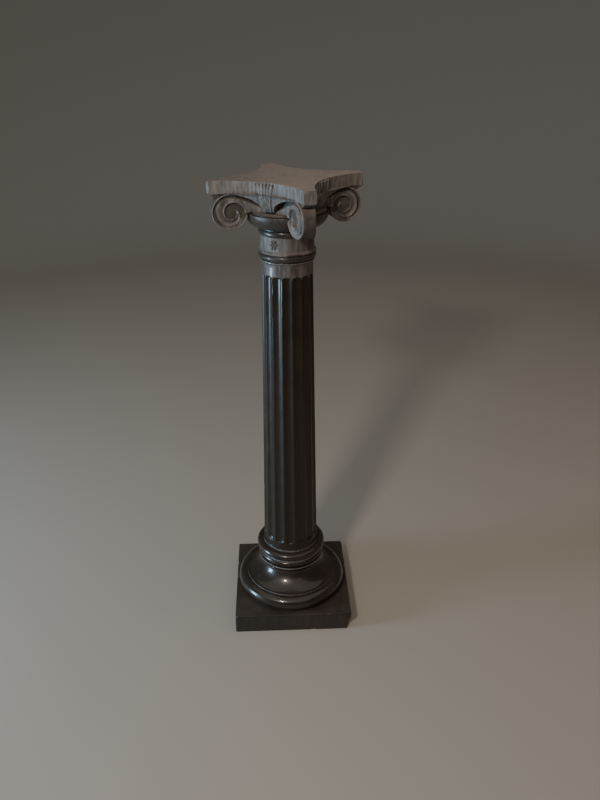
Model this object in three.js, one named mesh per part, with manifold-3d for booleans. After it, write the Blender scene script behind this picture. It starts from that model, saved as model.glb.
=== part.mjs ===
import * as THREE from 'three';
import { mergeVertices } from 'three/addons/utils/BufferGeometryUtils.js';
import Module from 'manifold-3d';

const wasm = await Module();
wasm.setup();

// A polished stone pedestal column: square plinth, turned base, fluted shaft and a four-sided scroll
// capital. Millimetres, +Z up, origin on the column's axis at the underside of the plinth.

// Plinth
const plinthWidth = 293;
const plinthDepth = 290;
const plinthHeight = 50;
const plinthOffset = 1.5;
const breakFrontTop = 12;
const breakFrontFoot = 10;
const breakSideTop = 2;
const breakSideFoot = 35;
const breakSpread = 2;

// Gap left where one piece is bedded on the next
const bedGap = 0.3;

// How far solids that are joined into one piece reach into each other
const overlap = 1;

// Turned base, from the plinth up
const lowerTorusRadius = 138;
const lowerTorusHeight = 38;
const lowerFilletRadius = 115.6;
const lowerFilletHeight = 3;
const scotiaFootRadius = 113;
const scotiaThroatRadius = 72;
const scotiaLowerHeight = 36;
const scotiaUpperHeight = 16.5;
const scotiaFlatness = 1.5;
const middleFilletRadius = 82.6;
const middleFilletHeight = 4;
const beadRadius = 83;
const beadHeight = 17;
const upperFilletRadius = 80.9;
const upperFilletHeight = 5;
const upperTorusRadius = 86.5;
const upperTorusHeight = 19;
const rollMeetsFillet = 84;

// Shaft
const shaftHeight = 759.6;
const footFilletRadius = 70;
const footFilletHeight = 5.5;
const footFlareHeight = 16;
const footFlareStep = 0.6;
const shaftLowerRadius = 68.1;
const shaftUpperRadius = 55.5;
const fluteCount = 16;
const fluteDepth = 4.6;
const fluteShare = 0.94;
const fluteStartHeight = 24;
const fluteFootRound = 9;
const fluteTopRound = 5;
const plainBandHeight = 31.5;
const collarFilletRadius = 58.6;
const collarFilletHeight = 4;
const collarFlareHeight = 9;
const collarGrooveDepth = 1.6;
const astragalRadius = 61.8;
const astragalHeight = 15;
const astragalMeetsNeck = 60;
const fluteTurn = 8.3;

// Neck and bowl of the capital
const neckRadius = 57.7;
const neckHeight = 36;
const neckFootRadius = 62;
const neckFootHeight = 7;
const neckBeadRadius = 60.6;
const neckBeadHeight = 13;
const neckBeadSeat = 0.4;
const bowlFootRadius = 60.2;
const bowlFootHeight = 3;
const bowlRadius = 87.5;
const bowlHeight = 30;
const bowlRimHeight = 4;

// Scrolls
const scrollZoneHeight = 39;
const scrollCentreRadius = 121;
const scrollCentreHeight = 0.8;
const scrollRadius = 34;
const scrollShoulder = 4.5;
const shoulderFades = 270;
const shoulderFull = 190;
const rimFrom = 75;
const rimTo = 350;
const scrollThickness = 24.6;
const scrollRimWidth = 3.6;
const carvingDepth = 5;
const strandTopRadius = 30;
const strandEndRadius = 11;
const strandInnerRadius = 28;
const strandInnerEnd = 12.5;
const wallMiddleDistance = 62;
const wallTurn = 36;
const strandTipHeight = 3;
const strandOuterFrom = 95;
const strandOuterTo = 400;
const strandInnerFrom = 13;
const strandInnerTo = 262;
const strandTightening = 2.6;
const strandFall = 0.0046;
const strandClimb = 1.25;

// Abacus and the flower on each of its sides
const abacusThickness = 26;
const abacusCornerReach = 163.5;
const abacusMiddleDistance = 85.5;
const cornerBevelReach = 16.5;
const cornerBevelHeight = 9;
const beakSetBack = 0.2;
const bellCurve = 0.6;
const spandrelFootDistance = 66;
const spandrelFootHeight = 6;
const spandrelFootHalfWidth = 12;
const flowerRise = 2.6;
const flowerTopHalfWidth = 20;
const flowerFootHalfWidth = 8;
const flowerPetals = 5;
const flowerPetalGap = 1.3;
const flowerShoulderDrop = 5;
const flowerTipDrop = 1.5;

// Rosettes on the neck
const rosetteWidth = 16;
const rosetteHeight = 22;
const rosetteRise = 3.2;
const rosettePetals = 6;
const rosetteNotch = 0.16;
const rosetteBossShare = 0.35;
const rosetteBossRise = 1;

// The capital stands turned on the shaft, clockwise seen from above
const capitalTurn = -30.56;

// Facets
const baseSegments = 32;
const bowlSegments = 32;
const stepsPerFlute = 4;
const roundSteps = 2;
const abacusSideSteps = 8;
const bellSteps = 3;
const climbSteps = 4;
const wallSteps = 4;
const breakSteps = 4;

const radians = THREE.MathUtils.degToRad;
const sideCount = 4;
const quarterTurn = Math.PI / 2;

// Heights where the pieces meet
const baseBottom = plinthHeight + bedGap;
const baseHeights = [
  lowerTorusHeight, lowerFilletHeight, scotiaLowerHeight, scotiaUpperHeight,
  middleFilletHeight, beadHeight, upperFilletHeight, upperTorusHeight,
];
const baseHeight = baseHeights.reduce((sum, part) => sum + part, 0);
const shaftBottom = baseBottom + baseHeight + bedGap;
const capitalBottom = shaftBottom + shaftHeight + bedGap;

// A closed mesh with shared corners, without triangles that have lost an edge
function weld(geometry) {
  const bare = geometry.clone();
  bare.deleteAttribute('normal');
  bare.deleteAttribute('uv');
  const merged = mergeVertices(bare, 1e-4);
  const index = merged.getIndex().array;
  const kept = [];
  for (let i = 0; i < index.length; i += 3) {
    const [a, b, c] = [index[i], index[i + 1], index[i + 2]];
    if (a !== b && b !== c && c !== a) {
      kept.push(a, b, c);
    }
  }
  merged.setIndex(kept);
  return merged;
}

function toSolid(geometry) {
  const closed = weld(geometry);
  const vertProperties = new Float32Array(closed.getAttribute('position').array);
  const triVerts = new Uint32Array(closed.getIndex().array);
  return new wasm.Manifold(new wasm.Mesh({ numProp: 3, vertProperties, triVerts }));
}

function toGeometry(solid) {
  const { vertProperties, triVerts } = solid.getMesh();
  const geometry = new THREE.BufferGeometry();
  geometry.setAttribute('position', new THREE.BufferAttribute(new Float32Array(vertProperties), 3));
  geometry.setIndex(new THREE.BufferAttribute(new Uint32Array(triVerts), 1));
  return geometry;
}

function joined(solids) {
  return solids.reduce((sum, solid) => sum.add(solid));
}

// Points of an elliptic arc about a centre, angles in degrees, both ends included
function arc(centreRadius, centreHeight, reachOut, reachUp, from, to, steps) {
  const points = [];
  for (let i = 0; i <= steps; i += 1) {
    const angle = radians(from + (to - from) * i / steps);
    const r = centreRadius + reachOut * Math.cos(angle);
    const z = centreHeight + reachUp * Math.sin(angle);
    points.push(new THREE.Vector2(r, z));
  }
  return points;
}

// A turned piece: the profile is carried round the axis and closed on it
function turned(profile, segments) {
  const bottom = new THREE.Vector2(0, profile[0].y);
  const top = new THREE.Vector2(0, profile[profile.length - 1].y);
  const geometry = new THREE.LatheGeometry([bottom, ...profile, top], segments);
  geometry.rotateX(quarterTurn);
  return geometry;
}

// Rings of corners stacked from the bottom up and closed by flat ends
function stackRings(rings) {
  const count = rings[0].length;
  const positions = [];
  for (const ring of rings) {
    for (const point of ring) {
      positions.push(point.x, point.y, point.z);
    }
  }
  const bottomCentre = positions.length / 3;
  positions.push(0, 0, rings[0][0].z);
  positions.push(0, 0, rings[rings.length - 1][0].z);
  const index = [];
  for (let level = 0; level < rings.length - 1; level += 1) {
    for (let j = 0; j < count; j += 1) {
      const a = level * count + j;
      const b = level * count + (j + 1) % count;
      index.push(a, b, b + count, a, b + count, a + count);
    }
  }
  const last = (rings.length - 1) * count;
  for (let j = 0; j < count; j += 1) {
    const next = (j + 1) % count;
    index.push(bottomCentre, next, j);
    index.push(bottomCentre + 1, last + j, last + next);
  }
  const geometry = new THREE.BufferGeometry();
  geometry.setAttribute('position', new THREE.Float32BufferAttribute(positions, 3));
  geometry.setIndex(index);
  return geometry;
}

function shapeOf(points) {
  return new THREE.Shape(points.map(([x, y]) => new THREE.Vector2(x, y)));
}

// A flat outline in a vertical plane, first coordinate along the given direction and second upward,
// thickened by depth from start, both measured along the plane's normal
function uprightSlab(points, directionAngle, start, depth) {
  const geometry = new THREE.ExtrudeGeometry(shapeOf(points), { depth, bevelEnabled: false, steps: 1 });
  const along = new THREE.Vector3(Math.cos(directionAngle), Math.sin(directionAngle), 0);
  const up = new THREE.Vector3(0, 0, 1);
  const normal = new THREE.Vector3().crossVectors(along, up);
  const place = new THREE.Matrix4().makeBasis(along, up, normal);
  geometry.translate(0, 0, start);
  geometry.applyMatrix4(place);
  return toSolid(geometry);
}

// Plinth: a square slab whose front right corner is broken off, more of it towards the floor. It
// stands a little off the axis.
function makePlinth() {
  const left = plinthOffset - plinthWidth / 2;
  const right = plinthOffset + plinthWidth / 2;
  const half = plinthDepth / 2;
  const rings = [];
  for (let i = 0; i <= breakSteps; i += 1) {
    const share = i / breakSteps;
    const front = breakFrontFoot + (breakFrontTop - breakFrontFoot) * share;
    const side = breakSideTop + (breakSideFoot - breakSideTop) * (1 - share) ** breakSpread;
    const outline = [[left, -half], [right - front, -half], [right, side - half], [right, half], [left, half]];
    rings.push(ringAt(outline, 1, plinthHeight * share));
  }
  return stackRings(rings);
}

// Points of a hollow from its foot up to its throat: a quarter of a superellipse
function hollowPoints(throatHeight, steps) {
  const points = [];
  for (let i = 0; i <= steps; i += 1) {
    const angle = radians(rollMeetsFillet * (1 - i / steps));
    const inward = Math.cos(angle) ** (2 / scotiaFlatness);
    const down = Math.sin(angle) ** (2 / scotiaFlatness);
    const r = scotiaFootRadius + (scotiaThroatRadius - scotiaFootRadius) * inward;
    points.push(new THREE.Vector2(r, throatHeight - scotiaLowerHeight * down));
  }
  return points;
}

// Base: two tori with a deep hollow, a bead and narrow fillets between them
function makeBase() {
  const profile = [];
  let z = baseBottom;
  const lowerBulge = lowerTorusHeight / 2;
  const lowerCentre = lowerTorusRadius - lowerBulge;
  profile.push(...arc(lowerCentre, z + lowerBulge, lowerBulge, lowerBulge, -90, rollMeetsFillet, 6));
  z += lowerTorusHeight;
  profile.push(new THREE.Vector2(lowerFilletRadius, z));
  z += lowerFilletHeight;
  profile.push(new THREE.Vector2(lowerFilletRadius, z));
  const throat = z + scotiaLowerHeight;
  profile.push(...hollowPoints(throat, 6));
  const lipReach = middleFilletRadius - scotiaThroatRadius;
  profile.push(...arc(middleFilletRadius, throat, -lipReach, scotiaUpperHeight, 28, rollMeetsFillet, 2));
  z = throat + scotiaUpperHeight;
  profile.push(new THREE.Vector2(middleFilletRadius, z));
  z += middleFilletHeight;
  profile.push(new THREE.Vector2(middleFilletRadius, z));
  const beadBulge = beadHeight / 2;
  const beadMiddle = z + beadBulge;
  const beadCore = beadRadius - beadBulge;
  profile.push(...arc(beadCore, beadMiddle, beadBulge, beadBulge, -rollMeetsFillet, rollMeetsFillet, 4));
  z += beadHeight;
  profile.push(new THREE.Vector2(upperFilletRadius, z));
  z += upperFilletHeight;
  profile.push(new THREE.Vector2(upperFilletRadius, z));
  const upperBulge = upperTorusHeight / 2;
  const upperCentre = upperTorusRadius - upperBulge;
  profile.push(...arc(upperCentre, z + upperBulge, upperBulge, upperBulge, -rollMeetsFillet, 90, 5));
  return turned(profile, baseSegments);
}

// How deep a flute is cut, from its place across the flute (-1 to 1) and its height
function fluteCut(across, height, start, end) {
  const foot = Math.max(0, (start + fluteFootRound - height) / fluteFootRound);
  const head = Math.max(0, (height - end + fluteTopRound) / fluteTopRound);
  const bowl = 1 - across * across - foot * foot - head * head;
  return fluteDepth * Math.max(0, bowl);
}

// Shaft: foot fillet, tapering drum with round-ended flutes, plain band, fillet and astragal
function makeShaft() {
  const top = shaftBottom + shaftHeight;
  const fluteStart = shaftBottom + fluteStartHeight;
  const collarBottom = top - astragalHeight - collarFilletHeight;
  const fluteEnd = collarBottom - plainBandHeight + collarFilletHeight;
  const drumBottom = shaftBottom + footFilletHeight + footFlareHeight;
  const drumTop = collarBottom - collarFlareHeight;
  const drumRadius = (height) => {
    const share = (height - drumBottom) / (drumTop - drumBottom);
    return shaftLowerRadius + (shaftUpperRadius - shaftLowerRadius) * share;
  };
  const levels = [];
  const addTurned = (points) => points.forEach((point) => levels.push([point.x, point.y]));
  levels.push([footFilletRadius, shaftBottom]);
  levels.push([footFilletRadius, shaftBottom + footFilletHeight]);
  const footFlare = footFilletRadius - footFlareStep - shaftLowerRadius;
  addTurned(arc(shaftLowerRadius + footFlare, drumBottom, -footFlare, -footFlareHeight, 90, 0, 2));
  for (let i = 0; i <= roundSteps; i += 1) {
    const share = 1 - Math.cos(quarterTurn * i / roundSteps);
    const height = fluteStart + fluteFootRound * Math.sin(quarterTurn * i / roundSteps) * share;
    levels.push([drumRadius(height), height]);
  }
  for (let i = roundSteps; i >= 0; i -= 1) {
    const share = 1 - Math.cos(quarterTurn * i / roundSteps);
    const height = fluteEnd - fluteTopRound * Math.sin(quarterTurn * i / roundSteps) * share;
    levels.push([drumRadius(height), height]);
  }
  const collarFlare = collarFilletRadius - shaftUpperRadius;
  addTurned(arc(collarFilletRadius, drumTop, -collarFlare, collarFlareHeight, 0, 80, 2));
  levels.push([collarFilletRadius, collarBottom]);
  levels.push([collarFilletRadius, collarBottom + collarFilletHeight - collarGrooveDepth / 2]);
  const bulge = astragalHeight / 2;
  const grooveRadius = astragalRadius - bulge;
  const beadCentre = top - bulge;
  levels.push([collarFilletRadius - collarGrooveDepth, collarBottom + collarFilletHeight]);
  addTurned(arc(grooveRadius, beadCentre, bulge, bulge, -astragalMeetsNeck, astragalMeetsNeck, 3));
  levels.push([grooveRadius + bulge * Math.cos(radians(astragalMeetsNeck)), top]);

  const steps = fluteCount * stepsPerFlute;
  const rings = levels.map(([radius, height]) => {
    const ring = [];
    for (let j = 0; j < steps; j += 1) {
      const place = (j % stepsPerFlute) / stepsPerFlute * 2 - 1;
      const across = Math.min(1, Math.abs(place) / fluteShare);
      const inFlute = height > fluteStart && height < fluteEnd;
      const cut = inFlute ? fluteCut(across, height, fluteStart, fluteEnd) : 0;
      const angle = 2 * Math.PI * j / steps - quarterTurn + radians(fluteTurn);
      const r = radius - cut;
      ring.push(new THREE.Vector3(r * Math.cos(angle), r * Math.sin(angle), height));
    }
    return ring;
  });
  return stackRings(rings);
}

// Heights inside the capital
const neckTop = capitalBottom + neckHeight;
const bowlBottom = neckTop + neckBeadHeight + bowlFootHeight;
const ledge = bowlBottom + bowlHeight + bowlRimHeight;
const abacusBottom = ledge + scrollZoneHeight;
const abacusTop = abacusBottom + abacusThickness;
const scrollCentre = ledge + scrollCentreHeight;
const scrollHalf = scrollThickness / 2;

// Neck with its flared foot, bead and the round bowl that the scrolls rise from
function makeNeckAndBowl() {
  const profile = [];
  profile.push(new THREE.Vector2(neckFootRadius, capitalBottom));
  profile.push(new THREE.Vector2(neckFootRadius, capitalBottom + neckFootHeight / 3));
  profile.push(new THREE.Vector2(neckRadius, capitalBottom + neckFootHeight));
  profile.push(new THREE.Vector2(neckRadius, neckTop));
  const bulge = neckBeadHeight / 2;
  const reach = neckBeadRadius - neckRadius + neckBeadSeat;
  profile.push(...arc(neckBeadRadius - reach, neckTop + bulge, reach, bulge, -80, 80, 3));
  profile.push(new THREE.Vector2(bowlFootRadius, neckTop + neckBeadHeight));
  profile.push(new THREE.Vector2(bowlFootRadius, bowlBottom));
  const bowlReach = bowlRadius - bowlFootRadius;
  profile.push(...arc(bowlFootRadius, bowlBottom + bowlHeight, bowlReach, bowlHeight, -80, 0, 5));
  profile.push(new THREE.Vector2(bowlRadius - bowlRimHeight / 2, ledge));
  return toSolid(turned(profile, bowlSegments));
}

// Prism whose four walls run from scroll to scroll: each is a hollow arc that turns into the flat
// faces of the two scrolls beside it, which draw together towards the corners of the abacus
function wallPrism(middle, half, bottom, top) {
  const away = (abacusCornerReach + half) * Math.SQRT1_2;
  const end = (abacusCornerReach - half) * Math.SQRT1_2;
  const turn = radians(wallTurn);
  const bend = (end * Math.tan(turn) + middle - away) / (1 / Math.cos(turn) - 1);
  const outline = [];
  const addPoint = (side, across, out) => {
    const angle = side * quarterTurn;
    const x = out * Math.cos(angle) - across * Math.sin(angle);
    const y = out * Math.sin(angle) + across * Math.cos(angle);
    outline.push([x, y]);
  };
  for (let side = 0; side < sideCount; side += 1) {
    addPoint(side, -end, away);
    for (let i = -wallSteps / 2; i <= wallSteps / 2; i += 1) {
      const angle = 2 * turn * i / wallSteps;
      addPoint(side, bend * Math.sin(angle), middle + bend * (1 - Math.cos(angle)));
    }
    addPoint(side, end, away);
  }
  const geometry = new THREE.ExtrudeGeometry(shapeOf(outline), { depth: top - bottom, bevelEnabled: false });
  geometry.translate(0, 0, bottom);
  return toSolid(geometry);
}

// The scroll's outline: fuller on top and outside, and round below. Angles run from the column's
// axis (0) over the top (90) and the outside (180) to the underside (270).
function scrollOutlineRadius(angle) {
  const fade = (shoulderFades - angle) / (shoulderFades - shoulderFull);
  const shoulder = THREE.MathUtils.clamp(fade, 0, 1);
  return scrollRadius + scrollShoulder * shoulder;
}

// Outer and inner edge of the raised strand that winds into the scroll
function strandOuterRadius(angle) {
  const share = (angle - strandOuterFrom) / (strandOuterTo - strandOuterFrom);
  return strandEndRadius + (strandTopRadius - strandEndRadius) * (1 - share ** strandTightening);
}

function strandInnerEdge(angle) {
  const fall = Math.exp(-strandFall * (angle - strandInnerFrom));
  return Math.max(strandInnerEnd, strandInnerRadius * fall);
}

function scrollPoint(angle, radius) {
  const turn = radians(angle);
  return [scrollCentreRadius - radius * Math.cos(turn), scrollCentre + radius * Math.sin(turn)];
}

function scrollArc(radiusAt, from, to, steps) {
  const points = [];
  for (let i = 0; i <= steps; i += 1) {
    const angle = from + (to - from) * i / steps;
    points.push(scrollPoint(angle, radiusAt(angle)));
  }
  return points;
}

// Strand outline: from the middle of the side along the ledge, up over the scroll and inward
function strandOutline() {
  const tip = wallMiddleDistance * Math.SQRT1_2 - overlap;
  const start = scrollPoint(strandOuterFrom, strandTopRadius);
  const rise = start[1] - ledge - strandTipHeight;
  const run = start[0] - tip;
  const climb = [];
  for (let i = 0; i < climbSteps; i += 1) {
    const share = i / climbSteps;
    const height = rise * Math.sin(quarterTurn * share) ** strandClimb;
    climb.push([tip + run * share, ledge + strandTipHeight + height]);
  }
  const inward = scrollArc(strandInnerEdge, strandInnerTo, strandInnerFrom, 7);
  return [
    [tip, ledge - overlap],
    ...climb,
    ...scrollArc(strandOuterRadius, strandOuterFrom, strandOuterTo, 11),
    ...inward,
    [scrollCentreRadius - scrollRadius, ledge - overlap],
  ];
}

function rimOutline() {
  const outer = scrollArc(scrollOutlineRadius, rimFrom, rimTo, 11);
  const inner = scrollArc((angle) => scrollOutlineRadius(angle) - scrollRimWidth, rimTo, rimFrom, 11);
  return [...outer, ...inner];
}

// The scrolls with the hollow walls between them: a recessed body, and the raised strands, rims and
// corner beaks standing out from it
function makeScrolls() {
  const span = abacusMiddleDistance;
  const beakFoot = abacusCornerReach - cornerBevelReach;
  const arm = [
    [0, ledge - overlap],
    [scrollCentreRadius - scrollRadius, ledge - overlap],
    [scrollCentreRadius, scrollCentre],
    [beakFoot - scrollRimWidth, abacusBottom - cornerBevelHeight],
    [beakFoot - scrollRimWidth, abacusBottom + overlap],
    [0, abacusBottom + overlap],
  ];
  const beak = [
    [scrollCentreRadius, abacusBottom - cornerBevelHeight / 3],
    [beakFoot, abacusBottom - cornerBevelHeight],
    [abacusCornerReach - beakSetBack, abacusBottom - beakSetBack],
    [abacusCornerReach - overlap, abacusBottom + 2 * overlap],
    [scrollCentreRadius, abacusBottom + 2 * overlap],
  ];
  const disc = scrollArc((angle) => scrollOutlineRadius(angle) - scrollRimWidth / 2, 45, 390, 15);
  const recessedSlabs = [];
  const raisedSlabs = [];
  for (let corner = 0; corner < sideCount; corner += 1) {
    const angle = quarterTurn / 2 + corner * quarterTurn;
    recessedSlabs.push(uprightSlab(arm, angle, -span, 2 * span));
    recessedSlabs.push(uprightSlab(disc, angle, -span, 2 * span));
    raisedSlabs.push(uprightSlab(rimOutline(), angle, -span, 2 * span));
    raisedSlabs.push(uprightSlab(strandOutline(), angle, -span, 2 * span));
    raisedSlabs.push(uprightSlab(beak, angle, -span, 2 * span));
  }
  const bottom = scrollCentre - scrollRadius - scrollShoulder;
  const top = abacusBottom + 3 * overlap;
  const deepMiddle = wallMiddleDistance - carvingDepth;
  const recessed = wallPrism(deepMiddle, scrollHalf - carvingDepth, bottom, top);
  const faces = wallPrism(wallMiddleDistance, scrollHalf - beakSetBack / 2, bottom, top);
  return joined([recessed.intersect(joined(recessedSlabs)), faces.intersect(joined(raisedSlabs))]);
}

// The abacus in plan, seen from the axis: four hollow sides between clipped corners
function abacusOutline(middle, cornerReach) {
  const cornerAway = (cornerReach + scrollHalf) * Math.SQRT1_2;
  const cornerAcross = (cornerReach - scrollHalf) * Math.SQRT1_2;
  const hollow = cornerAway - middle;
  const bend = (cornerAcross ** 2 + hollow ** 2) / (2 * hollow);
  const points = [];
  for (let side = 0; side < sideCount; side += 1) {
    const angle = side * quarterTurn;
    for (let i = 0; i <= abacusSideSteps; i += 1) {
      const across = cornerAcross * (2 * i / abacusSideSteps - 1);
      const away = middle + bend - Math.sqrt(bend ** 2 - across ** 2);
      const x = away * Math.cos(angle) - across * Math.sin(angle);
      const y = away * Math.sin(angle) + across * Math.cos(angle);
      points.push([x, y]);
    }
  }
  return points;
}

function ringAt(outline, scale, height) {
  return outline.map(([x, y]) => new THREE.Vector3(x * scale, y * scale, height));
}

// Abacus with the bell under it, whose sides curve inward to the foot of the flower
function abacusAndBell(middle, cornerReach) {
  const outline = abacusOutline(middle, cornerReach);
  const footScale = spandrelFootDistance / abacusMiddleDistance;
  const rings = [];
  for (let i = 0; i < bellSteps; i += 1) {
    const share = i / bellSteps;
    const scale = footScale + (1 - footScale) * share ** bellCurve;
    rings.push(ringAt(outline, scale, ledge - overlap + (scrollZoneHeight + overlap) * share));
  }
  rings.push(ringAt(outline, 1, abacusBottom));
  rings.push(ringAt(outline, 1, abacusTop));
  return toSolid(stackRings(rings));
}

// What shows of one side: the whole abacus, and below it the tongue between the scroll arches
function sideTongue(side, footHalfWidth, topHalfWidth) {
  const steps = 5;
  const foot = ledge + spandrelFootHeight;
  const right = [];
  for (let i = 0; i <= steps; i += 1) {
    const turn = quarterTurn * i / steps;
    const across = footHalfWidth + (topHalfWidth - footHalfWidth) * (1 - Math.cos(turn));
    right.push([across, foot + (abacusBottom - foot) * Math.sin(turn)]);
  }
  const left = right.map(([across, height]) => [-across, height]).reverse();
  const over = abacusBottom + overlap;
  const outline = [...right, [topHalfWidth, over], [-topHalfWidth, over], ...left];
  const start = wallMiddleDistance / 2;
  return uprightSlab(outline, side * quarterTurn + quarterTurn, start, abacusCornerReach - start);
}

// A fan of petals from the foot of the tongue to the top edge of the abacus
function flowerFan(side) {
  const foot = ledge + spandrelFootHeight;
  const petals = [];
  for (let petal = 0; petal < flowerPetals; petal += 1) {
    const low = petal / flowerPetals * 2 - 1;
    const high = (petal + 1) / flowerPetals * 2 - 1;
    const gap = flowerPetalGap / 2;
    const outline = [
      [low * flowerFootHalfWidth + gap, foot],
      [high * flowerFootHalfWidth - gap, foot],
      [high * flowerTopHalfWidth - gap, abacusTop - flowerShoulderDrop],
      [(low + high) / 2 * flowerTopHalfWidth, abacusTop - flowerTipDrop],
      [low * flowerTopHalfWidth + gap, abacusTop - flowerShoulderDrop],
    ];
    const start = wallMiddleDistance / 2;
    petals.push(uprightSlab(outline, side * quarterTurn + quarterTurn, start, abacusMiddleDistance));
  }
  return joined(petals);
}

function makeAbacus() {
  const body = abacusAndBell(abacusMiddleDistance, abacusCornerReach);
  const raised = abacusAndBell(abacusMiddleDistance + flowerRise, abacusCornerReach);
  const whole = 2 * abacusCornerReach;
  const over = abacusTop + overlap;
  const above = [[-whole, abacusBottom], [whole, abacusBottom], [whole, over], [-whole, over]];
  const shown = [uprightSlab(above, 0, -whole, 2 * whole)];
  const flowers = [];
  for (let side = 0; side < sideCount; side += 1) {
    shown.push(sideTongue(side, spandrelFootHalfWidth, scrollCentreRadius * Math.SQRT1_2));
    flowers.push(flowerFan(side));
  }
  return joined([body.intersect(joined(shown)), raised.intersect(joined(flowers))]);
}

// Small flowers set round the neck below the middle of each side
function makeRosettes() {
  const rosettes = [];
  const middle = capitalBottom + neckFootHeight + (neckHeight - neckFootHeight) / 2;
  const steps = rosettePetals * 2;
  for (let side = 0; side < sideCount; side += 1) {
    const outline = [];
    for (let i = 0; i < steps; i += 1) {
      const turn = 2 * Math.PI * i / steps;
      const lobe = 1 - rosetteNotch + rosetteNotch * Math.cos(rosettePetals * turn);
      const across = rosetteWidth / 2 * lobe * Math.cos(turn);
      outline.push([across, middle + rosetteHeight / 2 * lobe * Math.sin(turn)]);
    }
    const boss = outline.filter((point, i) => i % 2 === 0).map(([across, height]) => [
      across * rosetteBossShare, middle + (height - middle) * rosetteBossShare,
    ]);
    const direction = side * quarterTurn + quarterTurn;
    const start = neckRadius / 2;
    rosettes.push(uprightSlab(outline, direction, start, start + rosetteRise));
    rosettes.push(uprightSlab(boss, direction, start, start + rosetteRise + rosetteBossRise));
  }
  return joined(rosettes);
}

function makeCapital() {
  const solid = joined([makeNeckAndBowl(), makeScrolls(), makeAbacus(), makeRosettes()]);
  const geometry = toGeometry(solid);
  geometry.rotateZ(radians(capitalTurn));
  return weld(geometry);
}

function stone(color, roughness) {
  return new THREE.MeshStandardMaterial({ color, roughness, metalness: 0 });
}

function piece(name, geometry, material) {
  const mesh = new THREE.Mesh(geometry, material);
  mesh.name = name;
  return mesh;
}

const column = new THREE.Group();
column.name = 'column';
column.add(piece('plinth', weld(makePlinth()), stone(0x221d19, 0.4)));
column.add(piece('base', weld(makeBase()), stone(0x1f1b18, 0.2)));
column.add(piece('shaft', makeShaft(), stone(0x211d1a, 0.3)));
column.add(piece('capital', makeCapital(), stone(0x4a4540, 0.6)));

export default column;
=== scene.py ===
"""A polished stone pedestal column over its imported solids: a chipped plinth, a turned base, a fluted
shaft and a scroll capital, each one fine carved surface with the wear and dust of an old piece."""

import math

import bmesh
import bpy
import numpy as np
from bpy.props import FloatProperty, FloatVectorProperty, PointerProperty
from mathutils import Matrix, Vector


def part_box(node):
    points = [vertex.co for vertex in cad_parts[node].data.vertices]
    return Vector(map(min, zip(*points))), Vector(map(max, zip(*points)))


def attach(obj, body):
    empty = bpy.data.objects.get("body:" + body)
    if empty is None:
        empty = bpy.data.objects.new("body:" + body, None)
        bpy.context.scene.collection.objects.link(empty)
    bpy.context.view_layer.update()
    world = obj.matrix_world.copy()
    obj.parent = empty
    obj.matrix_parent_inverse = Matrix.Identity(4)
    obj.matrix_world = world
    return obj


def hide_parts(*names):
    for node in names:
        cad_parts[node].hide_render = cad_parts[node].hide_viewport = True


bl_info = {
    "name": "Stone pedestal column",
    "version": (1, 0, 0),
    "blender": (4, 5, 0),
    "location": "View3D > Sidebar > Column",
    "description": "Carved and worn stone surfaces of a fluted pedestal column",
    "category": "Object",
}

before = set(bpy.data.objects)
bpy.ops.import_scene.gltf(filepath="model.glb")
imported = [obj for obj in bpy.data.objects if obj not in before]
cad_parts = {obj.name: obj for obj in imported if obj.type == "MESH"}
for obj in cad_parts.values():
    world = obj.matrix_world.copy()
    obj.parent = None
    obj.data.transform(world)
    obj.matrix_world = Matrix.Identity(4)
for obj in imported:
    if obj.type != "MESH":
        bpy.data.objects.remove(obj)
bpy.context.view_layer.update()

# Shapes are worked out in millimetres and put into meshes in metres
MM = 0.001

# Step at which outlines are rounded before their points are placed
FINE_STEP = 0.25

# Two faces that meet at more than this angle keep a crisp edge between them
CRISP_ANGLE = math.radians(48)

# A join of shells that gives fewer faces than this has failed
FEWEST_FACES = 1000

UPWARDS = np.array([0, 0, 1.0])


def span(node):
    """Lowest and highest point of a piece's solid, in millimetres."""
    low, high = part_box(node)
    return low[2] / MM, high[2] / MM


def length(name, description, metres):
    """A size that a user may change, in metres."""
    return FloatProperty(name=name, description=description, default=metres, unit="LENGTH")


def colour(name, description, shade):
    """A colour that a user may change."""
    return FloatVectorProperty(name=name, description=description, default=shade, size=3, subtype="COLOR")


class ColumnSizes(bpy.types.PropertyGroup):
    """Carving sizes that may be changed without touching the column's outline."""

    flute_depth: length("Flute depth", "How deep each flute is cut", 0.0046)
    carving_depth: length("Carving depth", "Depth of the scroll channels", 0.005)
    flower_rise: length("Flower rise", "How far the petals stand out", 0.0026)
    rosette_rise: length("Rosette rise", "How far the neck rosettes stand out", 0.0042)
    unevenness: length("Unevenness", "Waviness left by hand work", 0.00025)
    capital_turn: FloatProperty(
        name="Capital turn",
        description="How far the capital stands turned on the shaft",
        default=math.radians(-30.56),
        subtype="ANGLE",
    )


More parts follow.
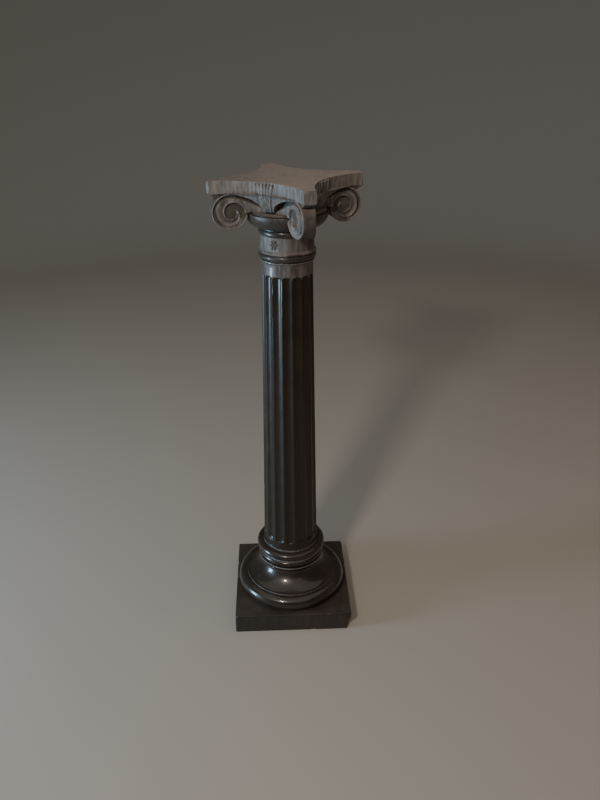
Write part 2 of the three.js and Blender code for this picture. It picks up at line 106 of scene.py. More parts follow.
class ColumnColours(bpy.types.PropertyGroup):
    """Colours of the stone, of what lies on it and of the painted shade, sheen and highlights."""

    polished: colour("Polished stone", "Dark polished body", (0.014, 0.0105, 0.0075))
    polished_vein: colour("Polished clouding", "Paler clouds in the polish", (0.032, 0.023, 0.016))
    matte: colour("Matte stone", "Unpolished grey stone", (0.110, 0.103, 0.098))
    matte_light: colour("Tool streaks", "Paler tool marks", (0.285, 0.275, 0.262))
    # Grime colour: it also paints the shade in the scrolls' channels, eyes and outer rims and in the
    # flower's grooves and scoops.
    grime_and_shade: colour("Grime", "Dirt sunk into the carving", (0.030, 0.026, 0.021))
    # Worn colour: it also paints highlight lines along the base's fillets and on the scrolls' raised
    # strands.
    worn_and_highlight: colour("Worn edge", "Rubbed edges", (0.23, 0.205, 0.175))
    # Dust colour: on the capital it also paints a sheen, so the top is paler towards the right.
    dust: colour("Dust", "Dust on upward faces", (0.29, 0.25, 0.222))


def round_part(centre, reach, start, end, steps):
    """Points of an elliptic arc: centre + reach times (cosine, sine) of evenly spaced angles."""
    angle = np.radians(np.linspace(start, end, steps + 1))
    return np.stack([centre[0] + reach[0] * np.cos(angle), centre[1] + reach[1] * np.sin(angle)], 1)


def placed_along(points, measure, count):
    """Points of the outline at even steps of a measure that grows along it."""
    at = np.linspace(0, measure[-1], count)
    return np.stack([np.interp(at, measure, points[:, 0]), np.interp(at, measure, points[:, 1])], 1)


def walked(parts, step, softness, per_radian=4.5):
    """The parts joined to one outline and walked twice. First it takes steps of FINE_STEP, and each
    point is averaged with its neighbours as often as softness says, which rounds the corners as wear
    does. Then the steps are even in length / step + turning * per_radian. The two ends stay."""
    points = np.concatenate([np.asarray(part, float) for part in parts])
    length = np.concatenate([[0], np.cumsum(np.linalg.norm(np.diff(points, axis=0), axis=1))])
    line = placed_along(points, length, round(length[-1] / FINE_STEP) + 1)
    for _ in range(softness):
        line[1:-1] = 0.25 * line[:-2] + 0.5 * line[1:-1] + 0.25 * line[2:]
    legs = np.diff(line, axis=0)
    turning = np.abs(np.diff(np.unwrap(np.arctan2(legs[:, 1], legs[:, 0])), prepend=0))
    turning[0] = 0
    measure = np.cumsum(np.linalg.norm(legs, axis=1) / step + turning * per_radian)
    return placed_along(line, np.concatenate([[0], measure]), round(measure[-1]) + 1)


def smooth_step(value):
    """0 below 0, 1 above 1 and 3v^2 - 2v^3 between."""
    v = np.clip(value, 0, 1)
    return v * v * (3 - 2 * v)


def ripples(points, wavelength, seed):
    """Smooth unevenness from -1 to 1: the mean of sine waves along seeded random directions."""
    rng = np.random.default_rng(seed)
    waves, strength = 14, 1.8
    directions = rng.normal(size=(waves, 3))
    directions /= np.linalg.norm(directions, axis=1)[:, None]
    pitch = wavelength * rng.uniform(0.6, 1.6, waves)
    phase = rng.uniform(0, 2 * np.pi, waves)
    return np.sin(points @ (directions / pitch[:, None]).T * 2 * np.pi + phase).mean(-1) * strength


def chipped(points, centre, normal, reach):
    """Flattens what stands beyond a plane through the centre: p - n max(0, (p - c) . n), fading out
    towards the reach."""
    offset = points - np.asarray(centre, float)
    normal = np.asarray(normal, float) / np.linalg.norm(normal)
    beyond = np.maximum(offset @ normal, 0)
    fade = 1.6
    near = smooth_step(fade - fade * np.linalg.norm(offset, axis=-1) / reach)
    return points - (beyond * near)[..., None] * normal


def turned_about_axis(points, angle):
    """The points turned about the column's axis: x cos - y sin, x sin + y cos."""
    c, s = math.cos(angle), math.sin(angle)
    x, y, z = np.moveaxis(points, -1, 0)
    return np.stack([x * c - y * s, x * s + y * c, z], -1)


def ring_faces(levels, count):
    """Four-sided faces between neighbouring rings of count points each, facing outwards where the
    rings run anticlockwise seen from above and follow each other from the bottom up."""
    place = np.arange(count)
    after = (place + 1) % count
    row = np.arange(levels - 1)[:, None] * count
    return np.stack([row + place, row + after, row + count + after, row + count + place], -1).reshape(-1, 4)


def ring_mesh(name, rings):
    """Closed surface through rings[level, place, xyz], given in millimetres from the bottom up and
    anticlockwise seen from above. Rings are joined by four-sided faces, and each end is closed by a
    fan about the end ring's mean point."""
    levels, count = rings.shape[:2]
    points = np.concatenate([rings.reshape(-1, 3), rings[0].mean(0)[None], rings[-1].mean(0)[None]])
    place = np.arange(count)
    after = (place + 1) % count
    bottom = np.stack([np.full(count, levels * count), after, place], -1)
    last = (levels - 1) * count
    top = np.stack([np.full(count, levels * count + 1), last + place, last + after], -1)
    mesh = bpy.data.meshes.new(name)
    faces = ring_faces(levels, count).tolist() + bottom.tolist() + top.tolist()
    mesh.from_pydata((points * MM).tolist(), [], faces)
    mesh.validate()
    return mesh


def turned_rings(profile, angles):
    """Rings of a turned piece: every profile point (radius, height) carried round by the angles."""
    radius, height = profile[:, 0][:, None], profile[:, 1][:, None]
    return np.stack([radius * np.cos(angles), radius * np.sin(angles), height + 0 * angles], -1)


def slab_levels(low, high, edge, round_steps, side_count, under, top):
    """Heights of a slab's rings and how far each is drawn in: the rings under it, a quarter round of
    radius edge, the upright sides, the same quarter round and the rings on its top."""
    turn = np.radians(np.linspace(0, 90, round_steps + 1))
    wide, narrow = edge * (1 - np.cos(turn)), edge * (1 - np.sin(turn))
    sides = np.linspace(low + edge, high - edge, side_count)
    heights = [[low] * len(under), low + wide[:-1], sides, high - narrow[1:], [high] * len(top)]
    insets = [under, narrow[:-1], 0 * sides, wide[1:], top]
    return np.concatenate(heights), np.concatenate(insets)


def drop_doubled_faces(mesh):
    """Take out the flat slivers that a join can leave: two faces back to back on the same points.
    Each point has a random number, and faces on the same points have the same sum of them."""
    starts = np.zeros(len(mesh.polygons), np.int32)
    corners = np.zeros(len(mesh.loops), np.int32)
    mesh.polygons.foreach_get("loop_start", starts)
    mesh.loops.foreach_get("vertex_index", corners)
    numbers = np.random.default_rng(51).integers(1 << 50, size=len(mesh.vertices))
    _, kind, alike = np.unique(
        np.add.reduceat(numbers[corners], starts), return_inverse=True, return_counts=True
    )
    whole = bmesh.new()
    whole.from_mesh(mesh)
    whole.faces.ensure_lookup_table()
    doubled = [whole.faces[face] for face in np.flatnonzero(alike[kind] > 1)]
    bmesh.ops.delete(whole, geom=doubled, context="FACES")
    whole.to_mesh(mesh)
    whole.free()


def joined(name, meshes):
    """One mesh from shells that run into each other: the outside of all of them together."""
    shells = []
    for number, mesh in enumerate(meshes):
        shell = bpy.data.objects.new(f"{name}_shell_{number}", mesh)
        bpy.context.scene.collection.objects.link(shell)
        shells.append(shell)
    for shell in shells[1:]:
        cut = shells[0].modifiers.new("join", "BOOLEAN")
        cut.operation = "UNION"
        cut.solver = "MANIFOLD"
        cut.object = shell
    bpy.context.view_layer.update()
    whole = shells[0].evaluated_get(bpy.context.evaluated_depsgraph_get())
    result = bpy.data.meshes.new_from_object(whole)
    result.name = name
    drop_doubled_faces(result)
    for shell in shells:
        old = shell.data
        bpy.data.objects.remove(shell)
        bpy.data.meshes.remove(old)
    if len(result.polygons) < FEWEST_FACES:
        raise RuntimeError(f"the shells of {name} could not be joined")
    return result


def exposure(mesh):
    """Per point: the mean over its neighbours q of (p - q) . n / |p - q|^2 in 1/mm, evened out along
    the edges once. It is above 0 on edges that stand out and below 0 in hollows. A neighbour very
    close by counts as one at a squared distance of nearest."""
    nearest = 5e-7
    count = len(mesh.vertices)
    places = np.zeros(count * 3, np.float32)
    normals = np.zeros(count * 3, np.float32)
    pairs = np.zeros(len(mesh.edges) * 2, np.int32)
    mesh.vertices.foreach_get("co", places)
    mesh.vertex_normals.foreach_get("vector", normals)
    mesh.edges.foreach_get("vertices", pairs)
    places, normals = places.reshape(-1, 3), normals.reshape(-1, 3)
    a, b = pairs.reshape(-1, 2).T
    away = places[a] - places[b]
    away *= MM / np.maximum((away * away).sum(1), nearest)[:, None]
    at_a, at_b = (away * normals[a]).sum(1), -(away * normals[b]).sum(1)
    ends = np.concatenate([a, b])
    degree = np.maximum(np.bincount(ends, minlength=count), 1)
    value = np.bincount(ends, np.concatenate([at_a, at_b]), count) / degree
    near = np.bincount(ends, np.concatenate([value[b], value[a]]), count) / degree
    return (value + near) / 2, normals[:, 2]


def nowhere(places):
    """A mask that is 0 all over."""
    return np.zeros(len(places))


def everywhere(places):
    """A mask that is 1 all over."""
    return np.ones(len(places))


def finished(name, mesh, node, material, given):
    """Makes the object of one piece in the place of its solid. Its masks are the ones of its shape
    plus the given ones, which are functions of the points in millimetres. Where none is given, no
    grime or painted shade lies on it, and dust may settle everywhere."""
    mesh.name = name
    mesh.shade_smooth()
    mesh.set_sharp_from_angle(angle=CRISP_ANGLE)
    worn_and_highlight, upward = exposure(mesh)
    places = np.zeros(len(mesh.vertices) * 3, np.float32)
    mesh.vertices.foreach_get("co", places)
    places = places.reshape(-1, 3) / MM
    masks = {"exposed_and_highlit": worn_and_highlight, "upward": upward}
    for title, make in {"grime_and_shade": nowhere, "dust_and_sheen": everywhere, **given}.items():
        masks[title] = masks.get(title, 0) + make(places)
    for title, values in masks.items():
        layer = mesh.attributes.new(title, "FLOAT", "POINT")
        layer.data.foreach_set("value", np.ascontiguousarray(values, np.float32))
    piece = bpy.data.objects.new(name, mesh)
    bpy.context.scene.collection.objects.link(piece)
    mesh.materials.clear()
    mesh.materials.append(material)
    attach(piece, "root")
    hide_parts(node)


# Plinth

PLINTH = (293, 290)
PLINTH_OFFSET = 1.5
PLINTH_EDGE = 1.2
BREAK_FRONT = (10, 12)
BREAK_SIDE = (35, 2)
BREAK_SPREAD = 2
BREAK_POINTS = 18
BREAK_FACING = np.array([0.6, -0.8, 0])
SIDE_POINTS = (110, 118, 118, 118)
PLINTH_UNDER_RINGS = (60, 20, 6)
PLINTH_TOP_RINGS = (2.4, 4, 7, 11, 17, 26, 40, 62, 95, 125)


def plinth_outline(share):
    """The plan at a share of the height, corners slightly rounded, and for each point how far it
    lies on the broken front right corner, which is cut back more towards the floor."""
    half_x, half_y = PLINTH[0] / 2, PLINTH[1] / 2
    front = BREAK_FRONT[0] + (BREAK_FRONT[1] - BREAK_FRONT[0]) * share
    side = BREAK_SIDE[1] + (BREAK_SIDE[0] - BREAK_SIDE[1]) * (1 - share) ** BREAK_SPREAD
    corners = [
        (half_x - front, -half_y), (half_x, side - half_y), (half_x, half_y),
        (-half_x, half_y), (-half_x, -half_y), (half_x - front, -half_y),
    ]
    counts = (BREAK_POINTS, *SIDE_POINTS)
    legs = [
        np.linspace(start, end, count, endpoint=False)
        for start, end, count in zip(corners, corners[1:], counts)
    ]
    line = np.concatenate(legs)
    line = 0.25 * np.roll(line, 1, 0) + 0.5 * line + 0.25 * np.roll(line, -1, 0)
    on_break = np.zeros(len(line))
    on_break[:BREAK_POINTS] = np.sin(np.pi * np.arange(BREAK_POINTS) / BREAK_POINTS)
    return line, on_break


def plinth_rings():
    """Rings of the outline: rounded lower edge, upright sides, rounded upper edge, and on the top
    and underside rings drawn in towards the middle. The broken corner is roughened across its face,
    and each chip is a place, the way it faces and its reach."""
    low, high = span("plinth")
    half = PLINTH[1] / 2
    levels = slab_levels(low, high, PLINTH_EDGE, 4, 17, PLINTH_UNDER_RINGS, PLINTH_TOP_RINGS)
    rings, on_break = [], []
    for z, drawn_in in zip(*levels):
        outline, broken = plinth_outline((z - low) / (high - low))
        scaled = outline * (1 - drawn_in / half)
        rings.append(np.stack([scaled[:, 0], scaled[:, 1], np.full(len(outline), z)], -1))
        on_break.append(broken * smooth_step(1 - drawn_in / 6))
    rings, on_break = np.array(rings), np.array(on_break)
    rough = 1.2 * ripples(rings, 13, 3) + 0.6 * ripples(rings, 5, 4) - 1.0
    rings = rings + (on_break * rough)[..., None] * BREAK_FACING
    uneven = 0.15 * ripples(rings, 90, 5)[..., None] * UPWARDS
    rings = rings + uneven * (rings[..., 2:] > high - 2)
    front, top = -half, high
    chips = [
        ((half - 13, front + 2, top - 1), (0.6, -0.8, 0.5), 9),
        ((19, front + 0.9, top - 0.8), (0, -0.7, 0.7), 5),
        ((35, front + 0.9, top - 0.8), (0.1, -0.7, 0.7), 5),
        ((86, front + 1.3, top - 1.1), (0.1, -0.6, 0.8), 8),
        ((-half + 1.6, -half + 1.6, top - 1), (-0.6, -0.6, 0.5), 10),
        ((-half + 1.6, 62, top - 1), (-0.8, 0.1, 0.6), 10),
        ((-half + 0.8, 8, top - 0.8), (-0.8, 0.1, 0.6), 6),
        ((half - 1.2, half - 1.2, top - 0.8), (0.6, 0.6, 0.5), 9),
        ((half - 0.9, 40, top - 0.9), (0.8, 0, 0.6), 8),
        ((-half + 1.5, half - 1.5, 3), (-0.6, 0.6, -0.3), 9),
        ((-60, half - 0.9, top - 0.9), (0.1, 0.7, 0.7), 8),
        ((50, front + 1, 1.5), (0, -0.7, -0.7), 8),
    ]
    for centre, direction, size in chips:
        rings = chipped(rings, centre, direction, size)
    rings[..., 2] = np.maximum(rings[..., 2], low)
    return rings + [PLINTH_OFFSET, 0, 0]


# Base

LOWER_TORUS = (138, 38)
LOWER_FILLET = (115.6, 3)
SCOTIA_FOOT = 113
SCOTIA_THROAT = 72
SCOTIA_LOWER = 36
SCOTIA_UPPER = 16.5
SCOTIA_FLATNESS = 1.5
MIDDLE_FILLET = (82.6, 4)
BEAD = (83, 17)
UPPER_FILLET = (80.9, 5)
UPPER_TORUS = (86.5, 19)
BASE_ENDS = (60, 66)
BASE_STEP = 3.2
BASE_AROUND = 216


def base_profile():
    """Radius and height from the bottom up: roll, fillet, hollow, fillet, bead, fillet and roll. The
    hollow's lower part is a superellipse: (x / X)^n + (y / Y)^n = 1."""
    z, top = span("base")
    parts = [[(BASE_ENDS[0], z)]]

    def roll(size):
        """A half-round moulding of the given radius and height, standing at the running height."""
        nonlocal z
        bulge = size[1] / 2
        parts.append(round_part((size[0] - bulge, z + bulge), (bulge, bulge), -88, 86, 24))
        z += size[1]

    def fillet(size):
        """A narrow upright band."""
        nonlocal z
        parts.append([(size[0], z), (size[0], z + size[1])])
        z += size[1]

    roll(LOWER_TORUS)
    fillet(LOWER_FILLET)
    throat = z + SCOTIA_LOWER
    turn = np.radians(np.linspace(87, 0, 31))
    inward, down = np.cos(turn) ** (2 / SCOTIA_FLATNESS), np.sin(turn) ** (2 / SCOTIA_FLATNESS)
    hollow = [SCOTIA_FOOT + (SCOTIA_THROAT - SCOTIA_FOOT) * inward, throat - SCOTIA_LOWER * down]
    parts.append(np.stack(hollow, 1))
    lip = MIDDLE_FILLET[0] - 0.5
    parts.append(round_part((lip, throat), (SCOTIA_THROAT - lip, SCOTIA_UPPER), 0, 86, 10))
    z = throat + SCOTIA_UPPER
    fillet(MIDDLE_FILLET)
    roll(BEAD)
    fillet(UPPER_FILLET)
    roll(UPPER_TORUS)
    parts.append([(BASE_ENDS[1], top)])
    return walked(parts, BASE_STEP, 2)


def fillet_heights():
    """Lowest and highest point of the base's three fillets."""
    low, high = span("base")
    lower = low + LOWER_TORUS[1]
    middle = lower + LOWER_FILLET[1] + SCOTIA_LOWER + SCOTIA_UPPER
    upper = high - UPPER_TORUS[1] - UPPER_FILLET[1]
    fillets = (LOWER_FILLET, MIDDLE_FILLET, UPPER_FILLET)
    return [(start, start + size[1]) for start, size in zip((lower, middle, upper), fillets)]


def banded(heights, bands, soft=0.6):
    """1 well inside the bands (low, high), fading to 0 at their ends over soft, and 0 elsewhere."""
    return np.maximum.reduce([
        smooth_step((heights - low) / soft) * smooth_step((high - heights) / soft) for low, high in bands
    ])


def base_worn_and_highlight(places):
    """Added to the edges' exposure: the fillets are rubbed all over, which paints a highlight line along
    each.
    """
    return 0.22 * banded(places[:, 2], fillet_heights(), 0.3)


def base_matte(places):
    """1 on the fillets, which have lost their polish, 0 on the rest."""
    return banded(places[:, 2], fillet_heights())


def base_rings():
    """The profile turned round the axis, a little uneven, with small chips on its fillets."""
    profile = base_profile()
    angles = np.linspace(0, 2 * np.pi, BASE_AROUND, endpoint=False)
    rings = turned_rings(profile, angles)
    outward = rings / np.linalg.norm(rings[..., :2], axis=-1)[..., None]
    outward[..., 2] = 0
    rings = rings + 0.12 * ripples(rings, 60, 11)[..., None] * outward
    rng = np.random.default_rng(12)
    radii = (LOWER_FILLET[0], MIDDLE_FILLET[0], UPPER_FILLET[0])
    for radius, (_, height) in zip(radii, fillet_heights()):
        for angle in rng.uniform(0, 2 * np.pi, 6):
            out = np.array([math.cos(angle), math.sin(angle), rng.uniform(-0.2, 0.8)])
            centre = out * [radius - 0.9, radius - 0.9, 0] + [0, 0, height]
            rings = chipped(rings, centre, out, rng.uniform(3.5, 6))
    return rings


# Shaft

FLUTES = 16
FLUTE_SHARE = 0.94
FLUTE_TURN = 8.3
FLUTE_START = 24
FLUTE_FOOT_ROUND = 9
FLUTE_TOP_ROUND = 5
FOOT_FILLET = (70, 5.5)
FOOT_FLARE = 16
FOOT_FLARE_STEP = 0.6
DRUM_RADII = (68.1, 55.5)
PLAIN_BAND = 31.5
COLLAR_FILLET = (58.6, 4)
COLLAR_FLARE = 9
COLLAR_GROOVE = 1.6
ASTRAGAL = (61.8, 15)
SHAFT_STEP = 2.5
SHAFT_END = 50
POINTS_PER_FLUTE = 14
FLUTE_CROWDING = 0.85
ARRIS_CHIPS = 34


def shaft_marks():
    """Heights at which the shaft's parts meet: flute start and end, collar bottom."""
    low, high = span("shaft")
    collar = high - ASTRAGAL[1] - COLLAR_FILLET[1]
    return low + FLUTE_START, collar - PLAIN_BAND + COLLAR_FILLET[1], collar


def shaft_profile():
    """Radius and height from the bottom up: foot fillet, flare, tapering drum, flare, fillet, groove
    and half-round astragal. Long plain lengths take wide steps, the rest close ones."""
    low, high = span("shaft")
    start, end, collar = shaft_marks()
    drum_low = low + FOOT_FILLET[1] + FOOT_FLARE
    drum_high = collar - COLLAR_FLARE

    def drum(height):
        """Radius of the tapering drum: straight from the lower to the upper one."""
        share = (height - drum_low) / (drum_high - drum_low)
        return DRUM_RADII[0] + (DRUM_RADII[1] - DRUM_RADII[0]) * share

    flare = FOOT_FILLET[0] - FOOT_FLARE_STEP - DRUM_RADII[0]
    foot = [
        [(SHAFT_END, low), (FOOT_FILLET[0], low), (FOOT_FILLET[0], low + FOOT_FILLET[1])],
        round_part((DRUM_RADII[0] + flare, drum_low), (-flare, -FOOT_FLARE), 90, 0, 8),
    ]
    close = np.linspace(drum_low + 1, start + FLUTE_FOOT_ROUND + 4, 18)
    long_run = np.arange(close[-1] + 5, end - FLUTE_TOP_ROUND - 6, 5.5)
    upper = np.linspace(end - FLUTE_TOP_ROUND - 4, end + 1.5, 18)
    band = np.linspace(end + 3, drum_high, 6)
    middle = np.concatenate([close, long_run, upper, band])
    bulge = ASTRAGAL[1] / 2
    flare = COLLAR_FILLET[0] - DRUM_RADII[1]
    head = [
        round_part((COLLAR_FILLET[0], drum_high), (-flare, COLLAR_FLARE), 4, 84, 8),
        [(COLLAR_FILLET[0], collar), (COLLAR_FILLET[0], collar + COLLAR_FILLET[1] - 1.2)],
        [(COLLAR_FILLET[0] - COLLAR_GROOVE, collar + COLLAR_FILLET[1])],
        round_part((ASTRAGAL[0] - bulge, high - bulge), (bulge, bulge), -62, 72, 16),
        [(SHAFT_END, high)],
    ]
    foot = walked(foot, SHAFT_STEP, 2)
    head = walked(head, SHAFT_STEP, 2)
    return np.concatenate([foot, np.stack([drum(middle), middle], 1), head])


def flute_cut(angles, heights, depth):
    """Depth of the flutes: depth times 1 - a^2 - f^2 - h^2, where a runs from -1 to 1 across a flute
    and f and h grow from 0 to 1 into its rounded foot and head."""
    start, end, _ = shaft_marks()
    place = ((angles + np.pi / 2 - math.radians(FLUTE_TURN)) * FLUTES / (2 * np.pi)) % 1 * 2 - 1
    across = np.minimum(1, np.abs(place) / FLUTE_SHARE)
    foot = np.maximum(0, (start + FLUTE_FOOT_ROUND - heights) / FLUTE_FOOT_ROUND)
    head = np.maximum(0, (heights - end + FLUTE_TOP_ROUND) / FLUTE_TOP_ROUND)
    return depth * np.maximum(0, 1 - across**2 - foot**2 - head**2)


def shaft_rings(depth):
    """The turned profile with the flutes cut in and small chips along the arrises."""
    profile = shaft_profile()
    turn = math.radians(FLUTE_TURN) - np.pi / 2
    share = np.linspace(-1, 1, POINTS_PER_FLUTE, endpoint=False)
    warped = np.sign(share) * np.abs(share) ** FLUTE_CROWDING
    offsets = (np.arange(FLUTES)[:, None] + (warped[None] + 1) / 2).ravel() / FLUTES
    angles = turn + offsets * 2 * np.pi
    rings = turned_rings(profile, angles)
    outward = np.stack([np.cos(angles), np.sin(angles), 0 * angles], -1)[None]
    cut = flute_cut(angles[None], profile[:, 1][:, None], depth)
    start, end, collar = shaft_marks()
    rings = rings + (0.14 * ripples(rings, 45, 21) - cut)[..., None] * outward
    rng = np.random.default_rng(22)
    for _ in range(ARRIS_CHIPS):
        angle = turn + 2 * np.pi * rng.integers(FLUTES) / FLUTES
        height = rng.uniform(start, end)
        share = (height - start) / (end - start)
        radius = DRUM_RADII[0] + (DRUM_RADII[1] - DRUM_RADII[0]) * share - rng.uniform(0.5, 1.1)
        out = np.array([math.cos(angle), math.sin(angle), rng.uniform(-0.15, 0.15)])
        centre = [radius * out[0], radius * out[1], height]
        rings = chipped(rings, centre, out, rng.uniform(5, 11))
    for angle in rng.uniform(0, 2 * np.pi, 8):
        out = np.array([math.cos(angle), math.sin(angle), 0.5])
        radius = COLLAR_FILLET[0] - 0.7
        rings = chipped(rings, [radius * out[0], radius * out[1], collar + 1], out, rng.uniform(3, 5))
    return rings


def plinth_matte(places):
    """A little on the scuffed upright faces, 0 on the top."""
    return 0.16 * smooth_step((span("plinth")[1] - 1 - places[:, 2]) / 2)


def shaft_matte(places):
    """Dull on the band above the flutes, duller on the two fillets, a little on the astragal and 0 on
    the polished rest."""
    _, end, collar = shaft_marks()
    angles = np.arctan2(places[:, 1], places[:, 0])
    uncut = smooth_step(1 - flute_cut(angles, places[:, 2], 1.0) * 8)
    band = uncut * smooth_step((places[:, 2] - end + 9) / 3) * smooth_step((collar - places[:, 2]) / 1.5)
    low, high = span("shaft")
    fillets = banded(places[:, 2], [(low, low + FOOT_FILLET[1]), (collar, collar + COLLAR_FILLET[1] - 1)])
    astragal = banded(places[:, 2], [(high - ASTRAGAL[1], high)])
    return np.maximum.reduce([0.48 * band, 0.7 * fillets, 0.13 * astragal])


# Capital. In a pair of sizes the radius or width comes before the height

NECK = (57.7, 36)
NECK_FOOT = (62, 7)
NECK_BEAD = (60.6, 13)
NECK_BEAD_SEAT = 0.4
BOWL_FOOT = (60.2, 3)
BOWL = (87.5, 30)
BOWL_RIM = 4
SCROLL_ZONE = 39
SCROLL_CENTRE = (121, 0.8)
SCROLL_RADIUS = 34
SCROLL_SHOULDER = 4.5
SHOULDER_FADES = 270
SHOULDER_FULL = 190
SCROLL_THICKNESS = 24.6
RIM_WIDTH = 3.6
RIM_FROM = 75
RIM_TO = 350
STRAND_OUTER = (95, 400, 30, 11)
STRAND_INNER = (13, 262, 28, 12.5)
STRAND_TIGHTENING = 2.6
STRAND_FALL = 0.0046
STRAND_TIP = 3
STRAND_CLIMB = 1.25
STRAND_SOFTNESS = 0.6
STRAND_HOLLOW = (0.2, 0.5)
STRAND_RIDGE = (0.3, 1.0, 1.1)
EYE_DEPTH = 0.75
EYE_REACH = 27
CHANNEL_FILLING = 0.55
WALL_MIDDLE = 62
WALL_TURN = 36
WALL_REACH = 71
ABACUS_THICKNESS = 26
CORNER_REACH = 163.5
ABACUS_MIDDLE = 85.5
BEVEL = (16.5, 9)
TONGUE_FOOT = (12, 6)
BELL_FOOT = 66
BELL_CURVE = 0.6
PETALS = 5
FLOWER_TOP = 20.5
FLOWER_FOOT = 8
ROSETTE = (16, 22)
ROSETTE_PETALS = 6
ROSETTE_ROWS = 26
BOWL_STEP = 1.8
BOWL_AROUND = 192
BOWL_GROOVE = 4.5
PETAL_TIP = (2.2, 6.5)
SCOOP_DEPTH = 2.4
SCOOP_PLACE = (6.0, 3.0)
HAND_OVER = (31, 51)
HAND_OVER_SINK = 2.5
HAND_OVER_FADE = 4
SCROLL_AROUND = 112
RIM_HOLLOW = 1.3
ABACUS_EDGE = 1.0
ABACUS_UNDER_RINGS = (60, 20, 5)
ABACUS_TOP_RINGS = (2.2, 4, 7, 12, 20, 34, 55, 75)

CAPITAL_LOW, CAPITAL_HIGH = span("capital")
ABACUS_BOTTOM = CAPITAL_HIGH - ABACUS_THICKNESS
LEDGE = ABACUS_BOTTOM - SCROLL_ZONE
BOWL_BOTTOM = LEDGE - BOWL_RIM - BOWL[1]
SCROLL_Z = LEDGE + SCROLL_CENTRE[1]
ROOT_HALF = math.sqrt(0.5)


def bowl_rings(rosette_rise):
    """The turned neck, bead, bowl and ledge. Points crowd round the four rosettes, which stand out
    from the neck as six-lobed flowers with a raised middle."""
    low = CAPITAL_LOW
    neck_top = low + NECK[1]
    bulge = NECK_BEAD[1] / 2
    reach = NECK_BEAD[0] - NECK[0] + NECK_BEAD_SEAT
    groove = BOWL[0] - BOWL_GROOVE
    parts = [
        [(40, low), (NECK_FOOT[0], low), (NECK_FOOT[0], low + NECK_FOOT[1] / 3)],
        [(NECK[0], low + NECK_FOOT[1]), (NECK[0], neck_top)],
        round_part((NECK_BEAD[0] - reach, neck_top + bulge), (reach, bulge), -80, 80, 12),
        [(BOWL_FOOT[0], neck_top + NECK_BEAD[1]), (BOWL_FOOT[0], BOWL_BOTTOM)],
        round_part((BOWL_FOOT[0], BOWL_BOTTOM + BOWL[1]), (BOWL[0] - BOWL_FOOT[0], BOWL[1]), -80, 0, 24),
        round_part((BOWL[0] - 2, BOWL_BOTTOM + BOWL[1]), (2, 1.6), 0, 90, 4),
        [(groove, LEDGE - 2.1), (groove, LEDGE - 1.6), (BOWL[0] - 1.5, LEDGE - 1.4)],
        [(BOWL[0] - 1.7, LEDGE), (50, LEDGE + 0.4)],
    ]
    profile = walked(parts, BOWL_STEP, 2, 3)
    middle = low + (NECK_FOOT[1] + NECK[1]) / 2
    half = ROSETTE[1] / 2
    below, above = profile[:, 1] < middle - half - 1, profile[:, 1] > middle + half + 1
    close = np.linspace(middle - half - 0.5, middle + half + 0.5, ROSETTE_ROWS)
    flower = np.stack([np.full(len(close), NECK[0]), close], 1)
    profile = np.concatenate([profile[below], flower, profile[above]])
    turn = np.linspace(0, 2 * np.pi, BOWL_AROUND, endpoint=False)
    angles = turn - 0.125 * np.sin(4 * turn)
    rings = turned_rings(profile, angles)
    sideways = (np.pi / 4 - np.abs((angles % (np.pi / 2)) - np.pi / 4)) * NECK[0]
    sign = np.where((angles % (np.pi / 2)) > np.pi / 4, -1, 1)
    across = (sideways * sign / (ROSETTE[0] / 2))[None]
    up = ((profile[:, 1] - middle) / half)[:, None]
    distance = np.hypot(across, up)
    around = np.arctan2(up, across)
    edge = 0.84 + 0.16 * np.cos(ROSETTE_PETALS * around)
    petal = smooth_step((edge - distance) / 0.16) * (0.72 + 0.28 * np.cos(ROSETTE_PETALS * around))
    dished = 1 - 0.35 * smooth_step(1 - np.abs(distance - 0.38) / 0.14)
    boss = 0.45 * smooth_step((0.3 - distance) / 0.14)
    rise = rosette_rise * (petal * dished + boss)
    outward = np.stack([np.cos(angles), np.sin(angles), 0 * angles], -1)[None]
    return rings + rise[..., None] * outward


def scroll_outline(angle):
    """Outline radius of a scroll: round, with a fuller shoulder on top. The angle is 0 towards the
    axis, 90 on top, 180 outside and 270 below."""
    fade = (SHOULDER_FADES - angle) / (SHOULDER_FADES - SHOULDER_FULL)
    return SCROLL_RADIUS + SCROLL_SHOULDER * np.clip(fade, 0, 1)


def strand_outer(angle):
    """Outer edge of the strand: from its top radius it tightens with a power of the angle."""
    start, end, first, last = STRAND_OUTER
    share = np.clip((angle - start) / (end - start), 0, 1)
    return last + (first - last) * (1 - share**STRAND_TIGHTENING)


def strand_inner(angle):
    """Inner edge of the strand: an exponential spiral that ends in the curl of the eye."""
    start, end, first, last = STRAND_INNER
    spiral = first * np.exp(-STRAND_FALL * (np.maximum(angle, start) - start))
    curl = last - 1.5 * (angle - end) / (STRAND_OUTER[1] - end)
    return np.where(angle > end, curl, np.maximum(last, spiral))


